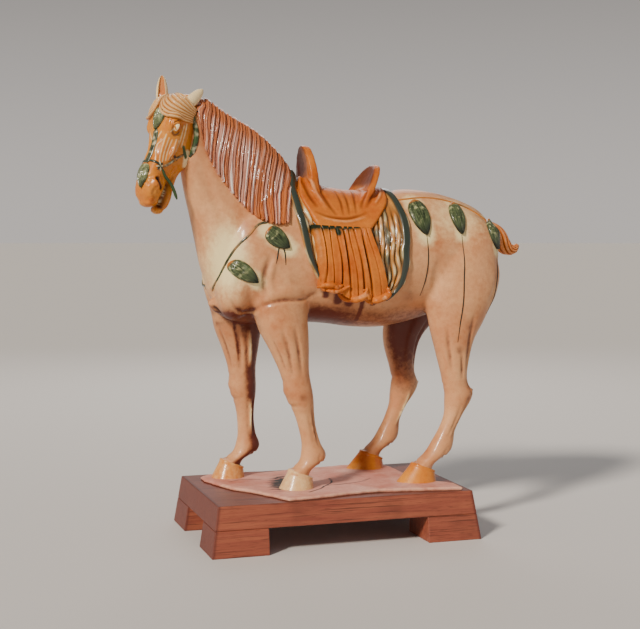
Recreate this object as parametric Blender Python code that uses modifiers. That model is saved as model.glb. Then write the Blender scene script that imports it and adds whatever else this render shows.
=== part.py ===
"""A lead-glazed pottery horse with saddle and trappings, standing on a plank stand.

The horse, everything modelled on it and the thin clay slab under its hooves were
fired as one piece, so they are one solid. The wooden stand is a deck on four blocks.

The horse faces -X, its left side is -Y, and +Z is up. Its forms are given in
thousandths of its own height: along from the middle of the stand, aside from its
own middle plane, and height from the soles. Near is its left side, far its right.
"""

import math

import bmesh
import bpy
import numpy as np
from mathutils import Matrix, Vector
from mathutils.bvhtree import BVHTree

# Driving dimensions, in metres.
HORSE_HEIGHT = 0.690
SLAB_THICKNESS = 0.0057
DECK_THICKNESS = 0.039
FOOT_HEIGHT = 0.043
FOOT_LENGTH = 0.096
FOOT_WIDTH = 0.092
FRONT_MARGIN = 0.023
BACK_MARGIN = 0.0135
NEAR_MARGIN = 0.0025
FAR_MARGIN = 0.0135
EDGE_ROUNDING = 0.0015
FIT_GAP = 0.0003

# How far the stand's outer faces slope out, for each metre down.
BATTER_END = 0.156
BATTER_SIDE = 0.125

# How finely the surface is made, in metres and triangles.
SKIN_VOXEL = 0.0042
SKIN_SMOOTHING = 5
HORSE_VOXEL = 0.0022
HORSE_TRIANGLES = 9000
THINNING_STEP = 60
TOUCHING = 0.00001

UNIT = HORSE_HEIGHT / 1000
STAND_HEIGHT = FOOT_HEIGHT + FIT_GAP + DECK_THICKNESS
SOLE_LEVEL = STAND_HEIGHT + FIT_GAP + SLAB_THICKNESS
HORSE_ASIDE = 20
NEAR, FAR = -1, 1
UP = Vector((0, 0, 1))

# Torso: along, belly, back, half width, and how much wider it is below.
TORSO = [
    (-282, 465, 600, 54, 0.0),
    (-264, 424, 660, 88, 0.0),
    (-217, 403, 715, 120, 0.04),
    (-145, 398, 742, 127, 0.08),
    (-72, 400, 742, 130, 0.1),
    (0, 396, 728, 136, 0.1),
    (72, 386, 718, 142, 0.08),
    (145, 383, 722, 143, 0.06),
    (217, 394, 734, 138, 0.03),
    (290, 414, 728, 132, 0.0),
    (362, 440, 710, 122, 0.0),
    (420, 455, 684, 104, 0.0),
    (450, 490, 650, 72, 0.0),
]

# Neck: throat point, crest point, distance from the middle plane, half width.
NECK = [
    (-352, 850, -300, 936, -42, 36),
    (-364, 784, -250, 903, -38, 43),
    (-356, 730, -178, 864, -29, 53),
    (-338, 662, -116, 812, -16, 66),
    (-322, 597, -75, 760, -6, 80),
    (-306, 532, -30, 730, 0, 98),
    (-280, 467, 20, 700, 0, 112),
]
NECK_WIDER_BELOW = 0.28

# Head, in its own frame: distance down the face, face line, jaw line, half width.
SKULL = [
    (-16, -34, -84, 30),
    (2, -5, -100, 42),
    (30, 5, -106, 47),
    (68, 4, -122, 46),
    (105, -3, -125, 40),
    (132, -5, -116, 34),
    (150, -4, -94, 31),
    (172, -1, -73, 29),
    (197, 2, -63, 29),
    (220, -1, -57, 31),
    (239, -8, -51, 30),
    (253, -19, -45, 23),
]
JAW = [
    (130, -58, -110, 24),
    (165, -67, -88, 21),
    (196, -64, -85, 20),
    (225, -63, -87, 21),
    (248, -60, -83, 20),
    (262, -56, -72, 15),
]
HEAD_PLACE = (-405, -59, 943)
HEAD_TURN = math.radians(27)
HEAD_TILT = math.radians(20)
HEAD_SQUARENESS = 0.3
SKULL_NARROWER_BELOW = 0.12
HEAD_MIDDLE = -60
HEAD_TOP = 28

# On the head, as down the face, out of it and aside, then half sizes.
BROW_BONE = ((62, -18, 38), (26, 17, 15))
EYE = ((69, -20, 39), (7, 6, 8))
EYELID = ((58, -26, 38), (5, 12, 7))
NOSTRIL = ((212, -20, 31), (8, 5, 7))

# Ears: root on the head, then how far the tip is up, ahead and to the left.
FAR_EAR = ((-2, -28, -45), (63, 0, 0))
NEAR_EAR = ((2, -46, 38), (38, -34, 8))
EAR_SECTIONS = [(0.0, 11), (0.25, 14), (0.55, 12.5), (0.8, 9), (0.95, 4.5)]
EAR_FLATNESS = 0.75
EAR_HOLLOW = (7, 6, 17)

# Legs: height above the soles, reach forward, reach back, half width.
FORELEG = [
    (600, 90, 80, 56),
    (500, 88, 82, 60),
    (426, 68, 67, 54),
    (385, 61, 62, 50),
    (340, 49, 50, 43),
    (290, 37, 38, 36),
    (262, 35, 35, 33),
    (235, 36, 34, 34),
    (210, 33, 31, 32),
    (185, 25, 26, 26),
    (150, 21, 23, 21),
    (110, 21, 26, 21),
    (88, 25, 35, 25),
    (72, 27, 37, 27),
    (56, 28, 27, 27),
    (42, 29, 27, 27),
    (26, 29, 28, 28),
]
HINDLEG = [
    (620, 80, 95, 50),
    (560, 105, 100, 66),
    (514, 108, 110, 68),
    (464, 95, 104, 66),
    (426, 78, 88, 58),
    (390, 65, 74, 50),
    (351, 52, 56, 44),
    (305, 41, 42, 38),
    (265, 33, 34, 33),
    (240, 32, 35, 31),
    (220, 35, 40, 31),
    (195, 32, 35, 29),
    (164, 24, 24, 24),
    (125, 22, 23, 21),
    (97, 26, 32, 24),
    (74, 28, 37, 27),
    (58, 28, 30, 27),
    (44, 29, 27, 27),
    (26, 29, 28, 28),
]

# The line that each leg follows: along, aside, height.
LEG_LINES = {
    "near_fore": [
        (-125, -52, 620),
        (-126, -76, 426),
        (-108, -88, 335),
        (-87, -98, 235),
        (-71, -101, 162),
        (-57, -102, 74),
        (-86, -102, 42),
        (-94, -102, 20),
    ],
    "far_fore": [
        (-203, 52, 620),
        (-197, 76, 410),
        (-187, 86, 320),
        (-179, 92, 235),
        (-173, 95, 150),
        (-174, 95, 71),
        (-208, 95, 42),
        (-218, 95, 20),
    ],
    "near_hind": [
        (360, -66, 640),
        (346, -74, 514),
        (330, -88, 417),
        (320, -96, 351),
        (323, -102, 249),
        (332, -104, 217),
        (319, -105, 164),
        (297, -106, 119),
        (272, -107, 72),
        (238, -106, 42),
        (228, -106, 20),
    ],
    "far_hind": [
        (360, 66, 640),
        (335, 74, 500),
        (280, 90, 405),
        (256, 98, 340),
        (261, 105, 264),
        (268, 108, 225),
        (257, 109, 180),
        (236, 110, 130),
        (211, 110, 75),
        (176, 110, 42),
        (168, 110, 20),
    ],
}

# Hooves: how far they reach from the end of the leg's line, and their rim.
HOOF_TOE = 44
HOOF_HEEL = 42
HOOF_HALF_WIDTH = 40
HOOF_LEAN = 11
HOOF_TAPER = 0.34
# The hind hooves reach further ahead at the toe.
HIND_TOE_LONGER = 17
CORONET_FRONT = 48
CORONET_BACK = 24
HOOF_SUNK = 2

# Rounded muscles under the glaze: middle, half sizes, tilt in degrees.
MUSCLES = [
    ((-232, -52, 500), (50, 62, 90), 8),
    ((-204, 44, 510), (44, 56, 84), 8),
    ((-120, -66, 530), (74, 62, 118), 14),
    ((-150, 66, 530), (74, 62, 118), 14),
    ((372, -62, 575), (84, 66, 100), -12),
    ((372, 62, 575), (84, 66, 100), -12),
    ((-268, -26, 450), (22, 26, 24), 0),
]

# Clay slab: its outline seen from above, from the middle of the stand.
SLAB_OUTLINE = [
    (-287, 99),
    (-248, -25),
    (-210, -75),
    (-177, -138),
    (-148, -201),
    (-71, -193),
    (13, -172),
    (94, -161),
    (214, -182),
    (297, -198),
    (301, -145),
    (240, -75),
    (230, 60),
    (228, 152),
    (150, 185),
    (60, 177),
    (-90, 152),
    (-180, 168),
    (-262, 160),
    (-284, 135),
]
SLAB_RIM_DROP = 0.0018
SLAB_RIM_WIDTH = 0.006

# Mane: crest and lower edge on the near side, along and height.
MANE_CREST = [
    (-318, 948),
    (-272, 928),
    (-213, 898),
    (-150, 868),
    (-108, 830),
    (-82, 800),
    (-74, 778),
]
MANE_EDGE = [
    (-330, 902),
    (-318, 838),
    (-292, 780),
    (-240, 712),
    (-188, 664),
    (-140, 648),
    (-104, 652),
]
MANE_LOCKS = 20
MANE_ROWS = 9
MANE_THICKNESS = 10
MANE_FAR_REACH = 26
MANE_SAG = 14

# Edges of what lies on the barrel: along, and degrees round from the back line.
CLOTH_FRONT = [(-106, 0), (-116, 25), (-106, 59), (-91, 72), (-76, 92), (-45, 111), (-33, 122)]
CLOTH_BACK = [(172, 0), (183, 39), (189, 65), (184, 83), (179, 99), (163, 112), (131, 122)]
COVER_FRONT = [(-66, 66), (-56, 84), (-49, 100), (-47, 117)]
COVER_BACK = [(82, 61), (90, 73), (108, 93), (131, 119)]
FLAP_FRONT = [(-66, 0), (-78, 35), (-62, 53), (-45, 68)]
FLAP_BACK = [(160, 0), (150, 30), (122, 48), (88, 63)]
CLOTH_THICKNESS = 7
CLOTH_HEM = 4
CLOTH_STRANDS = 16
STRAND_HEIGHT = 3
COVER_THICKNESS = 13
COVER_PLEATS = 8
PLEAT_DEPTH = 8
COVER_SWAGS = 3
SWAG_HEIGHT = 7
FLAP_THICKNESS = 13
FLAP_BAND = 3
FLAP_RISE = 14

# Saddle arches: foot, height, half width, lean, bow at the foot, half thickness.
FRONT_ARCH = ((-24, 716), 122, 67, -20, -10, 11)
BACK_ARCH = ((116, 714), 78, 76, 28, -46, 11)
ARCH_DROP = 46
ARCH_CROWN = 0.93
ARCH_ROUNDNESS = 2.5
ARCH_SPREAD = 0.2
ARCH_BOW_FADES = 0.75
ARCH_SLIMMER_ABOVE = 0.0
ARCH_STOUTER_BELOW = 1.2

# Leaf ornaments: root, tip, half width.
LEAVES = {
    "shoulder": ((-171, 630), (-119, 586), 23),
    "breast": ((-258, 551), (-194, 505), 21),
    "loin": ((217, 701), (235, 616), 27),
    "croup": ((326, 695), (333, 618), 21),
    "tail_root": ((427, 656), (439, 580), 19),
}
LEAF_HEIGHT = 12
LEAF_RIM = 4
LEAF_SIDES = 16
LEAF_ROOT_SWELL = 1.25
LEAF_TIP_SLIMMING = 0.75
LEAF_CROWN_PLACE = 0.42
BREAST_STRAP = [
    (-168, 648),
    (-191, 642),
    (-216, 616),
    (-236, 597),
    (-253, 574),
    (-268, 544),
    (-283, 499),
    (-281, 474),
]
CRUPPER_STRAP = [
    (157, 702),
    (195, 706),
    (250, 711),
    (302, 706),
    (357, 691),
    (390, 676),
    (413, 661),
    (445, 640),
]
STRAP_RADIUS = 4.5

# Bridle, in the head's frame. Face places are down and aside, cheek places down and out.
BROW_LEAF = ((30, 10), (84, 3), 17)
NOSE_LEAF = ((168, 0), (228, 6), 16)
BRIDLE_LEAF_HEIGHT = 8
FACE_STRAP = [(82, 4), (110, 3), (140, 0), (170, -3)]
CHEEK_STRAP = [(10, -50), (24, -57), (39, -69), (63, -80), (89, -86), (116, -89)]
JAW_STRAP = [(168, -24), (158, -38), (146, -48), (132, -58), (118, -72)]
NOSE_STRAP = [(166, -20), (162, -10), (160, -3)]
ROSETTE = (168, -20)
ROSETTE_SIZES = (10, 10, 4)
BIT = [(172, -28, 29), (184, -42, 28), (194, -64, 27), (206, -78, 28), (222, -93, 28)]
BRIDLE_RADIUS = 3.4
BROAD_STRAP_RADIUS = 4.6

# Forelock: its first and last strand on each side, in the head's own frame.
FORELOCK_FRONT = [(-8, -8, 1), (18, 6, 3), (42, 6, 12), (54, 0, 32), (52, -26, 50), (42, -70, 55)]
FORELOCK_BACK = [(-22, -38, 2), (-22, -30, 9), (-16, -26, 22), (-4, -36, 38), (4, -52, 48), (8, -76, 48)]
FORELOCK_STRANDS = 6
FORELOCK_THICKNESS = 9
LOCK_DEPTH = 5

# Tail: a short twisted stump, along, height and radius.
TAIL = [(440, 632, 30), (480, 618, 27), (503, 592, 23), (521, 580, 17), (536, 580, 12), (545, 588, 7)]
TAIL_FLUTES = 6
FLUTE_SHARE = 0.8
TAIL_TWIST = 0.11

# How deep what lies on the skin reaches into it, and how far off a look at it starts.
SUNK = 8
CLEAR_OF_HAIR = 30
CLEAR_OF_BODY = 100
CLEAR_OF_HEAD = 200


def at(along, aside, height):
    """A point of the horse in metres, from its thousandths."""
    return Vector((along * UNIT, (HORSE_ASIDE + aside) * UNIT, SOLE_LEVEL + height * UNIT))


def head_axes():
    """Down the face, out of the forehead, and to the horse's left."""
    ahead = Vector((-math.cos(HEAD_TURN), -math.sin(HEAD_TURN), 0))
    down = ahead * math.sin(HEAD_TILT) - UP * math.cos(HEAD_TILT)
    out = ahead * math.cos(HEAD_TILT) + UP * math.sin(HEAD_TILT)
    left = UP.cross(ahead)
    return down, out, left


def head_at(down, out, left):
    """A point of the head in metres, from its own frame."""
    axes = head_axes()
    return at(*HEAD_PLACE) + (axes[0] * down + axes[1] * out + axes[2] * left) * UNIT


def smooth_rows(rows, count):
    """Evenly many rows on a smooth curve through the given ones."""
    given = np.array(rows, float)
    padded = np.vstack([2 * given[0] - given[1], given, 2 * given[-1] - given[-2]])
    place = np.linspace(0, len(given) - 1, count)
    start = np.minimum(place.astype(int), len(given) - 2)
    part = (place - start)[:, None]
    p0, p1, p2, p3 = (padded[start + shift] for shift in range(4))
    bend = 2 * p0 - 5 * p1 + 4 * p2 - p3
    twist = -p0 + 3 * p1 - 3 * p2 + p3
    return 0.5 * (2 * p1 + (p2 - p0) * part + bend * part**2 + twist * part**3)


def even_along(rows, count):
    """Rows on the smooth curve through the given ones, evenly spaced in their first value."""
    fine = smooth_rows(rows, 200)
    places = np.linspace(fine[0][0], fine[-1][0], count)
    return np.column_stack([places, np.interp(places, fine[:, 0], fine[:, 1])])


def solid(name, body, collection):
    """An object from a closed mesh being built, its faces turned outwards."""
    bmesh.ops.recalc_face_normals(body, faces=body.faces)
    if body.calc_volume(signed=True) < 0:
        bmesh.ops.reverse_faces(body, faces=body.faces)
    bmesh.ops.triangulate(body, faces=body.faces)
    mesh = bpy.data.meshes.new(name)
    body.to_mesh(mesh)
    body.free()
    obj = bpy.data.objects.new(name, mesh)
    collection.objects.link(obj)
    return obj


def from_faces(name, points, faces, collection):
    """A closed object from points and the faces between them."""
    body = bmesh.new()
    corners = [body.verts.new(point) for point in points]
    for face in faces:
        body.faces.new([corners[index] for index in face])
    return solid(name, body, collection)


def ball(name, middle, sizes, axes, collection):
    """An oval lump whose half sizes run along three axes."""
    body = bmesh.new()
    bmesh.ops.create_uvsphere(body, u_segments=20, v_segments=12, radius=UNIT)
    bmesh.ops.scale(body, vec=sizes, verts=body.verts)
    bmesh.ops.rotate(body, matrix=Matrix(axes).transposed(), verts=body.verts)
    bmesh.ops.translate(body, vec=middle, verts=body.verts)
    return solid(name, body, collection)


def ring(start, end, side, half_width, wider=0.0, squareness=0.0, count=28):
    """Points round an oval from start to end, its width along side.

    Wider makes it broader towards its start, and squareness fills its corners.
    """
    middle = (start + end) / 2
    reach = (start - end) / 2
    points = []
    for turn in range(count):
        angle = 2 * math.pi * turn / count
        ahead, across = math.cos(angle), math.sin(angle)
        ahead = math.copysign(abs(ahead) ** (1 - squareness), ahead)
        across = math.copysign(abs(across) ** (1 - squareness), across)
        width = half_width * (1 + wider * ahead)
        points.append(middle + reach * ahead + side * (width * across))
    return points


def end_cap(ring_points, inner_points, dome):
    """Two shrinking rings and a tip that round off the end of a tube."""
    count = len(ring_points)
    centre = sum(ring_points, Vector()) / count
    inner = sum(inner_points, Vector()) / count
    spread = sum((point - centre).length for point in ring_points) / count
    out = (centre - inner).normalized() * spread * dome
    rings = []
    for angle in (math.radians(40), math.radians(70)):
        shrunk, risen = math.cos(angle), out * math.sin(angle)
        rings.append([centre + (point - centre) * shrunk + risen for point in ring_points])
    return rings, centre + out


def loft(name, rings, collection, dome=0.5):
    """A closed tube through rings of equally many points, with rounded ends."""
    first_rings, first_tip = end_cap(rings[0], rings[1], dome)
    last_rings, last_tip = end_cap(rings[-1], rings[-2], dome)
    rows = [*reversed(first_rings), *rings, *last_rings]
    count = len(rings[0])
    points = [point for row in rows for point in row] + [first_tip, last_tip]
    faces = []
    for turn in range(count):
        after = (turn + 1) % count
        for low in range(0, count * (len(rows) - 1), count):
            high = low + count
            faces.append((low + turn, low + after, high + after, high + turn))
        end = count * (len(rows) - 1)
        faces.append((turn, after, len(points) - 2))
        faces.append((end + turn, end + after, len(points) - 1))
    return from_faces(name, points, faces, collection)


def plate(name, outer, inner, collection):
    """A closed plate between two grids of points of the same size."""
    rows, columns = len(outer), len(outer[0])
    points = [point for grid in (outer, inner) for row in grid for point in row]
    below = rows * columns
    faces = []
    for row in range(rows - 1):
        for column in range(columns - 1):
            corner = row * columns + column
            quad = (corner, corner + 1, corner + columns + 1, corner + columns)
            faces.append(quad)
            faces.append(tuple(below + place for place in reversed(quad)))
    rim = list(range(columns))
    rim += [row * columns + columns - 1 for row in range(1, rows)]
    rim += [(rows - 1) * columns + column for column in range(columns - 2, -1, -1)]
    rim += [row * columns for row in range(rows - 2, 0, -1)]
    for here, there in zip(rim, rim[1:] + rim[:1]):
        faces.append((here, there, below + there, below + here))
    return from_faces(name, points, faces, collection)


def finished_mesh(obj):
    """The object's mesh with its modifiers applied."""
    graph = bpy.context.evaluated_depsgraph_get()
    graph.update()
    return bpy.data.meshes.new_from_object(obj.evaluated_get(graph))


def joined(name, pieces, collection):
    """One object from many, its bodies still separate."""
    body = bmesh.new()
    for piece in pieces:
        body.from_mesh(piece.data)
        bpy.data.objects.remove(piece)
    mesh = bpy.data.meshes.new(name)
    body.to_mesh(mesh)
    body.free()
    obj = bpy.data.objects.new(name, mesh)
    collection.objects.link(obj)
    return obj


def run_together(obj, voxel, smoothing):
    """Makes the object's bodies into one even surface."""
    fuse = obj.modifiers.new("fuse", "REMESH")
    fuse.mode = "VOXEL"
    fuse.voxel_size = voxel
    soften = obj.modifiers.new("soften", "SMOOTH")
    soften.factor = 0.5
    soften.iterations = int(smoothing)
    mesh = finished_mesh(obj)
    obj.modifiers.clear()
    obj.data = mesh


def cut_away(obj, cutters):
    """Cuts closed shapes out of the object, and removes them."""
    for cutter in cutters:
        cut = obj.modifiers.new(cutter.name, "BOOLEAN")
        cut.operation = "DIFFERENCE"
        cut.solver = "EXACT"
        cut.object = cutter
    mesh = finished_mesh(obj)
    obj.modifiers.clear()
    obj.data = mesh
    for cutter in cutters:
        bpy.data.objects.remove(cutter)


def is_whole(mesh):
    """Whether the surface is closed and nowhere touches itself at a corner."""
    body = bmesh.new()
    body.from_mesh(mesh)
    bmesh.ops.remove_doubles(body, verts=body.verts, dist=TOUCHING)
    whole = all(edge.is_manifold for edge in body.edges)
    whole = whole and all(vertex.is_manifold for vertex in body.verts)
    body.free()
    return whole


def thin_out(obj, wanted):
    """Fewer triangles: the first count from the wanted one up that stays whole."""
    triangles = sum(len(face.vertices) - 2 for face in obj.data.polygons)
    for count in range(wanted, triangles, THINNING_STEP):
        thin = obj.modifiers.new("thin", "DECIMATE")
        thin.ratio = count / triangles
        thin.use_collapse_triangulate = True
        mesh = finished_mesh(obj)
        obj.modifiers.clear()
        if is_whole(mesh):
            obj.data = mesh
            return


def torso(collection):
    side = Vector((0, UNIT, 0))
    rings = []
    for along, belly, back, half, wider in smooth_rows(TORSO, 40):
        rings.append(ring(at(along, 0, belly), at(along, 0, back), side, half, wider))
    return loft("torso", rings, collection, dome=0.25)


def neck(collection):
    side = Vector((0, UNIT, 0))
    rings = []
    for throat_x, throat_z, crest_x, crest_z, aside, half in smooth_rows(NECK, 30):
        throat = at(throat_x, aside, throat_z)
        crest = at(crest_x, aside, crest_z)
        rings.append(ring(throat, crest, side, half, NECK_WIDER_BELOW))
    return loft("neck", rings, collection)


def head_tube(name, rows, narrower, collection):
    """The skull or the lower jaw, lofted down the face."""
    side = head_axes()[2] * UNIT
    rings = []
    for down, face, jaw, half in smooth_rows(rows, 3 * len(rows)):
        jaw_line, face_line = head_at(down, jaw, 0), head_at(down, face, 0)
        rings.append(ring(jaw_line, face_line, side, half, -narrower, HEAD_SQUARENESS))
    return loft(name, rings, collection, dome=0.6)


def line_at(line, height):
    """Where a leg's line passes at a height."""
    path = smooth_rows(line, 120)
    order = np.argsort(path[:, 2])
    heights = path[order, 2]
    along = np.interp(height, heights, path[order, 0])
    aside = np.interp(height, heights, path[order, 1])
    return along, aside


def leg(name, line, collection):
    side = Vector((0, UNIT, 0))
    profile = FORELEG if name.endswith("fore") else HINDLEG
    rings = []
    for height, front, back, half in smooth_rows(profile, 60):
        along, aside = line_at(line, height)
        start = at(along - front, aside, height)
        end = at(along + back, aside, height)
        rings.append(ring(start, end, side, half))
    return loft(name, rings, collection, dome=0.3)


def on_head(name, spot, aside_sign, collection):
    """A lump or a cutter on one side of the head."""
    (down, out, aside), sizes = spot
    middle = head_at(down, out, aside_sign * aside)
    return ball(name, middle, sizes, head_axes(), collection)


def skin(collection):
    """The bare horse: tubes and muscles run together, and its surface to build on."""
    pieces = [torso(collection), neck(collection)]
    pieces.append(head_tube("skull", SKULL, SKULL_NARROWER_BELOW, collection))
    pieces.append(head_tube("jaw", JAW, 0, collection))
    pieces += [leg(name, line, collection) for name, line in LEG_LINES.items()]
    for middle, sizes, tilt in MUSCLES:
        axes = Matrix.Rotation(math.radians(-tilt), 3, "Y")
        pieces.append(ball("muscle", at(*middle), sizes, axes, collection))
    pieces += [on_head("brow_bone", BROW_BONE, side, collection) for side in (NEAR, FAR)]
    obj = joined("skin", pieces, collection)
    run_together(obj, SKIN_VOXEL, SKIN_SMOOTHING)
    cut_away(obj, [on_head("nostril", NOSTRIL, side, collection) for side in (NEAR, FAR)])
    corners = [vertex.co.copy() for vertex in obj.data.vertices]
    faces = [tuple(face.vertices) for face in obj.data.polygons]
    return obj, BVHTree.FromPolygons(corners, faces)


def first_hit(surface, start, direction):
    """The skin's point and normal met from start, or else the nearest one."""
    place, normal, _, _ = surface.ray_cast(start, direction)
    if place is None:
        place, normal, _, _ = surface.find_nearest(start)
    return place, normal


def side_hit(surface, along, height, side):
    """The skin's point and normal seen from the near or far side."""
    start = at(along, 0, height) + Vector((0, side * HORSE_HEIGHT, 0))
    return first_hit(surface, start, Vector((0, -side, 0)))


def barrel_hit(surface, along, angle):
    """The skin's point and normal round the barrel, from the back line at angle 0."""
    table = np.array(TORSO)
    belly, back, half = (np.interp(along, table[:, 0], table[:, column]) for column in (1, 2, 3))
    middle = (belly + back) / 2
    aim = at(along, half * math.sin(angle), middle + (back - belly) / 2 * math.cos(angle))
    outward = (aim - at(along, 0, middle)).normalized()
    return first_hit(surface, aim + outward * CLEAR_OF_BODY * UNIT, -outward)


def head_hit(surface, down, out, left):
    """The skin's point and normal where a spoke from the head's middle passes a place."""
    middle = head_at(max(down, HEAD_TOP), HEAD_MIDDLE, 0)
    aim = head_at(down, out, left)
    spoke = (aim - middle).normalized()
    return first_hit(surface, aim + spoke * CLEAR_OF_HAIR * UNIT, -spoke)


def face_hit(surface, spot):
    """The skin's point and normal on the face, from down and aside."""
    return first_hit(surface, head_at(spot[0], CLEAR_OF_HEAD, spot[1]), -head_axes()[1])


def cheek_hit(surface, spot, side):
    """The skin's point and normal on a cheek, from down and out. Left is positive."""
    start = head_at(spot[0], spot[1], side * CLEAR_OF_HEAD)
    return first_hit(surface, start, -head_axes()[2] * side)


def laid_on(name, grid, thickness, sunk, collection):
    """A plate on the skin. Grid holds points with normals, thickness one value for each."""
    outer, inner = [], []
    for hits, lifts in zip(grid, thickness):
        outer.append([place + normal * lift * UNIT for (place, normal), lift in zip(hits, lifts)])
        inner.append([place - normal * sunk * UNIT for place, normal in hits])
    return plate(name, outer, inner, collection)


def wrapped(name, surface, edges, sides, shape, collection, rows, columns):
    """A plate laid round the barrel between a front and a back edge, from the top down.

    Shape gives the thickness at shares of the length and of the way down.
    """
    front, back = (smooth_rows(edge, rows) for edge in edges)
    order = [(sides[-1], row) for row in range(rows)]
    if len(sides) == 2:
        order = [(sides[0], row) for row in range(rows - 1, 0, -1)] + order
    grid, thickness = [], []
    for side, row in order:
        hits, lifts = [], []
        for share in np.linspace(0, 1, columns):
            along, angle = front[row] * (1 - share) + back[row] * share
            hits.append(barrel_hit(surface, along, side * math.radians(angle)))
            lifts.append(shape(share, row / (rows - 1)))
        grid.append(hits)
        thickness.append(lifts)
    return laid_on(name, grid, thickness, SUNK, collection)


def mane(surface, collection):
    """Combed locks that fall from the crest down the near side."""
    columns = 2 * MANE_LOCKS + 1
    crest = even_along(MANE_CREST, columns)
    edge = even_along(MANE_EDGE, columns)
    ridge_and_groove = [MANE_THICKNESS - LOCK_DEPTH * (column % 2) for column in range(columns)]
    neck_rows = np.array(NECK)
    grid, thickness = [], []
    for beyond in (MANE_FAR_REACH, 0):
        hits = []
        for along, height in crest:
            aside = np.interp(along, neck_rows[:, 2], neck_rows[:, 4]) + beyond
            hits.append(first_hit(surface, at(along, aside, height + CLEAR_OF_BODY), -UP))
        grid.append(hits)
        thickness.append([lift if beyond == 0 else 0.3 * lift for lift in ridge_and_groove])
    for down in np.linspace(0, 1, MANE_ROWS)[1:]:
        hits = []
        for top, bottom in zip(crest, edge):
            along, height = top * (1 - down) + bottom * down
            hits.append(side_hit(surface, along, height - MANE_SAG * (1 - down), NEAR))
        grid.append(hits)
        thickness.append(ridge_and_groove)
    return laid_on("mane", grid, thickness, SUNK, collection)


def hoof(name, line, collection):
    """A hoof whose wall slopes out from the coronet to the sole."""
    end_along, end_aside, _ = line[-1]
    rings = []
    for share in (0.0, 0.12, 0.5, 1.0):
        flare = 1 - HOOF_TAPER * (1 - share)
        points = []
        for turn in range(20):
            angle = 2 * math.pi * turn / 20
            ahead = math.cos(angle)
            reach = HOOF_TOE if ahead > 0 else HOOF_HEEL
            longer = HIND_TOE_LONGER * share if ahead > 0 and "hind" in name else 0
            along = end_along - ahead * (reach * flare + longer) + HOOF_LEAN * (1 - share)
            aside = end_aside + math.sin(angle) * HOOF_HALF_WIDTH * flare
            rim = CORONET_BACK + (CORONET_FRONT - CORONET_BACK) * (1 + ahead) / 2
            points.append(at(along, aside, rim * (1 - share) - HOOF_SUNK * share))
        rings.append(points)
    return loft(name + "_hoof", rings, collection, dome=0.02)


def ear(name, spot, facing, collection):
    """A pointed ear with a hollow that opens the way it faces."""
    left = head_axes()[2]
    ahead = left.cross(UP)
    (up_by, ahead_by, left_by) = spot[1]
    root = head_at(*spot[0])
    rise = (UP * up_by + ahead * ahead_by + left * left_by) * UNIT
    side = rise.cross(facing).normalized()
    depth = side.cross(rise).normalized()
    rings = []
    for share, half in EAR_SECTIONS:
        middle = root + rise * share
        thick = depth * half * EAR_FLATNESS * UNIT
        rings.append(ring(middle - thick, middle + thick, side, half * UNIT))
    obj = loft(name, rings, collection)
    axes = (side, facing.normalized(), rise.normalized())
    middle = root + rise * 0.52 + facing.normalized() * EAR_HOLLOW[0] * UNIT
    cut_away(obj, [ball("hollow", middle, EAR_HOLLOW, axes, collection)])
    return obj


def leaf(name, hit, spot, height, collection):
    """A pointed, domed leaf. Hit turns flat coordinates into a point and normal."""
    root, tip = np.array(spot[0], float), np.array(spot[1], float)
    half = spot[2]
    axis = tip - root
    across = np.array([-axis[1], axis[0]]) / np.linalg.norm(axis)
    middle = root + axis * LEAF_CROWN_PLACE
    grid, thickness = [], []
    for spread, lift in ((0.02, 1.0), (0.3, 0.95), (0.6, 0.8), (0.85, 0.55), (1.0, 0.0)):
        hits = []
        for turn in range(LEAF_SIDES + 1):
            angle = 2 * math.pi * turn / LEAF_SIDES
            share = 0.5 - 0.5 * math.cos(angle)
            width = half * math.sin(angle) * (LEAF_ROOT_SWELL - LEAF_TIP_SLIMMING * share)
            edge = root + axis * share + across * width
            hits.append(hit(middle + (edge - middle) * spread))
        grid.append(hits)
        thickness.append([max(height * lift, LEAF_RIM)] * len(hits))
    return laid_on(name, grid, thickness, SUNK, collection)


def strap(name, places, radius, collection):
    """A round cord of clay along points on the skin."""
    curve = bpy.data.curves.new(name, "CURVE")
    curve.dimensions = "3D"
    curve.bevel_depth = radius * UNIT
    curve.bevel_resolution = 1
    curve.use_fill_caps = True
    spline = curve.splines.new("POLY")
    spline.points.add(len(places) - 1)
    for point, place in zip(spline.points, places):
        point.co = (*place, 1)
    guide = bpy.data.objects.new(name, curve)
    collection.objects.link(guide)
    mesh = finished_mesh(guide)
    bpy.data.objects.remove(guide)
    body = bmesh.new()
    body.from_mesh(mesh)
    bmesh.ops.remove_doubles(body, verts=body.verts, dist=TOUCHING)
    return solid(name, body, collection)


def arch(name, sizes, collection):
    """A saddle arch: an upright plate across the horse, rounded at the top.

    Lean is how far its top stands from its foot along the horse, and bow how
    far its wings reach from its middle at the foot.
    """
    (along, level), height, half, lean, bow, thick = sizes
    outer, inner = [], []
    for up in np.linspace(0, 1, 12):
        outer_row, inner_row = [], []
        for across in np.linspace(-1, 1, 21):
            crown = (1 - ARCH_CROWN * abs(across) ** ARCH_ROUNDNESS) ** 0.5
            x = along + lean * up * crown + bow * across**2 * (1 - ARCH_BOW_FADES * up)
            y = half * across * (1 + ARCH_SPREAD * (1 - up))
            z = level - ARCH_DROP * across**2 * (1 - up) + height * up * crown
            slim = thick * (1 - ARCH_SLIMMER_ABOVE * up**3 + ARCH_STOUTER_BELOW * (1 - up) ** 3)
            outer_row.append(at(x - slim, y, z))
            inner_row.append(at(x + slim, y, z))
        outer.append(outer_row)
        inner.append(inner_row)
    return plate(name, outer, inner, collection)


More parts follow.
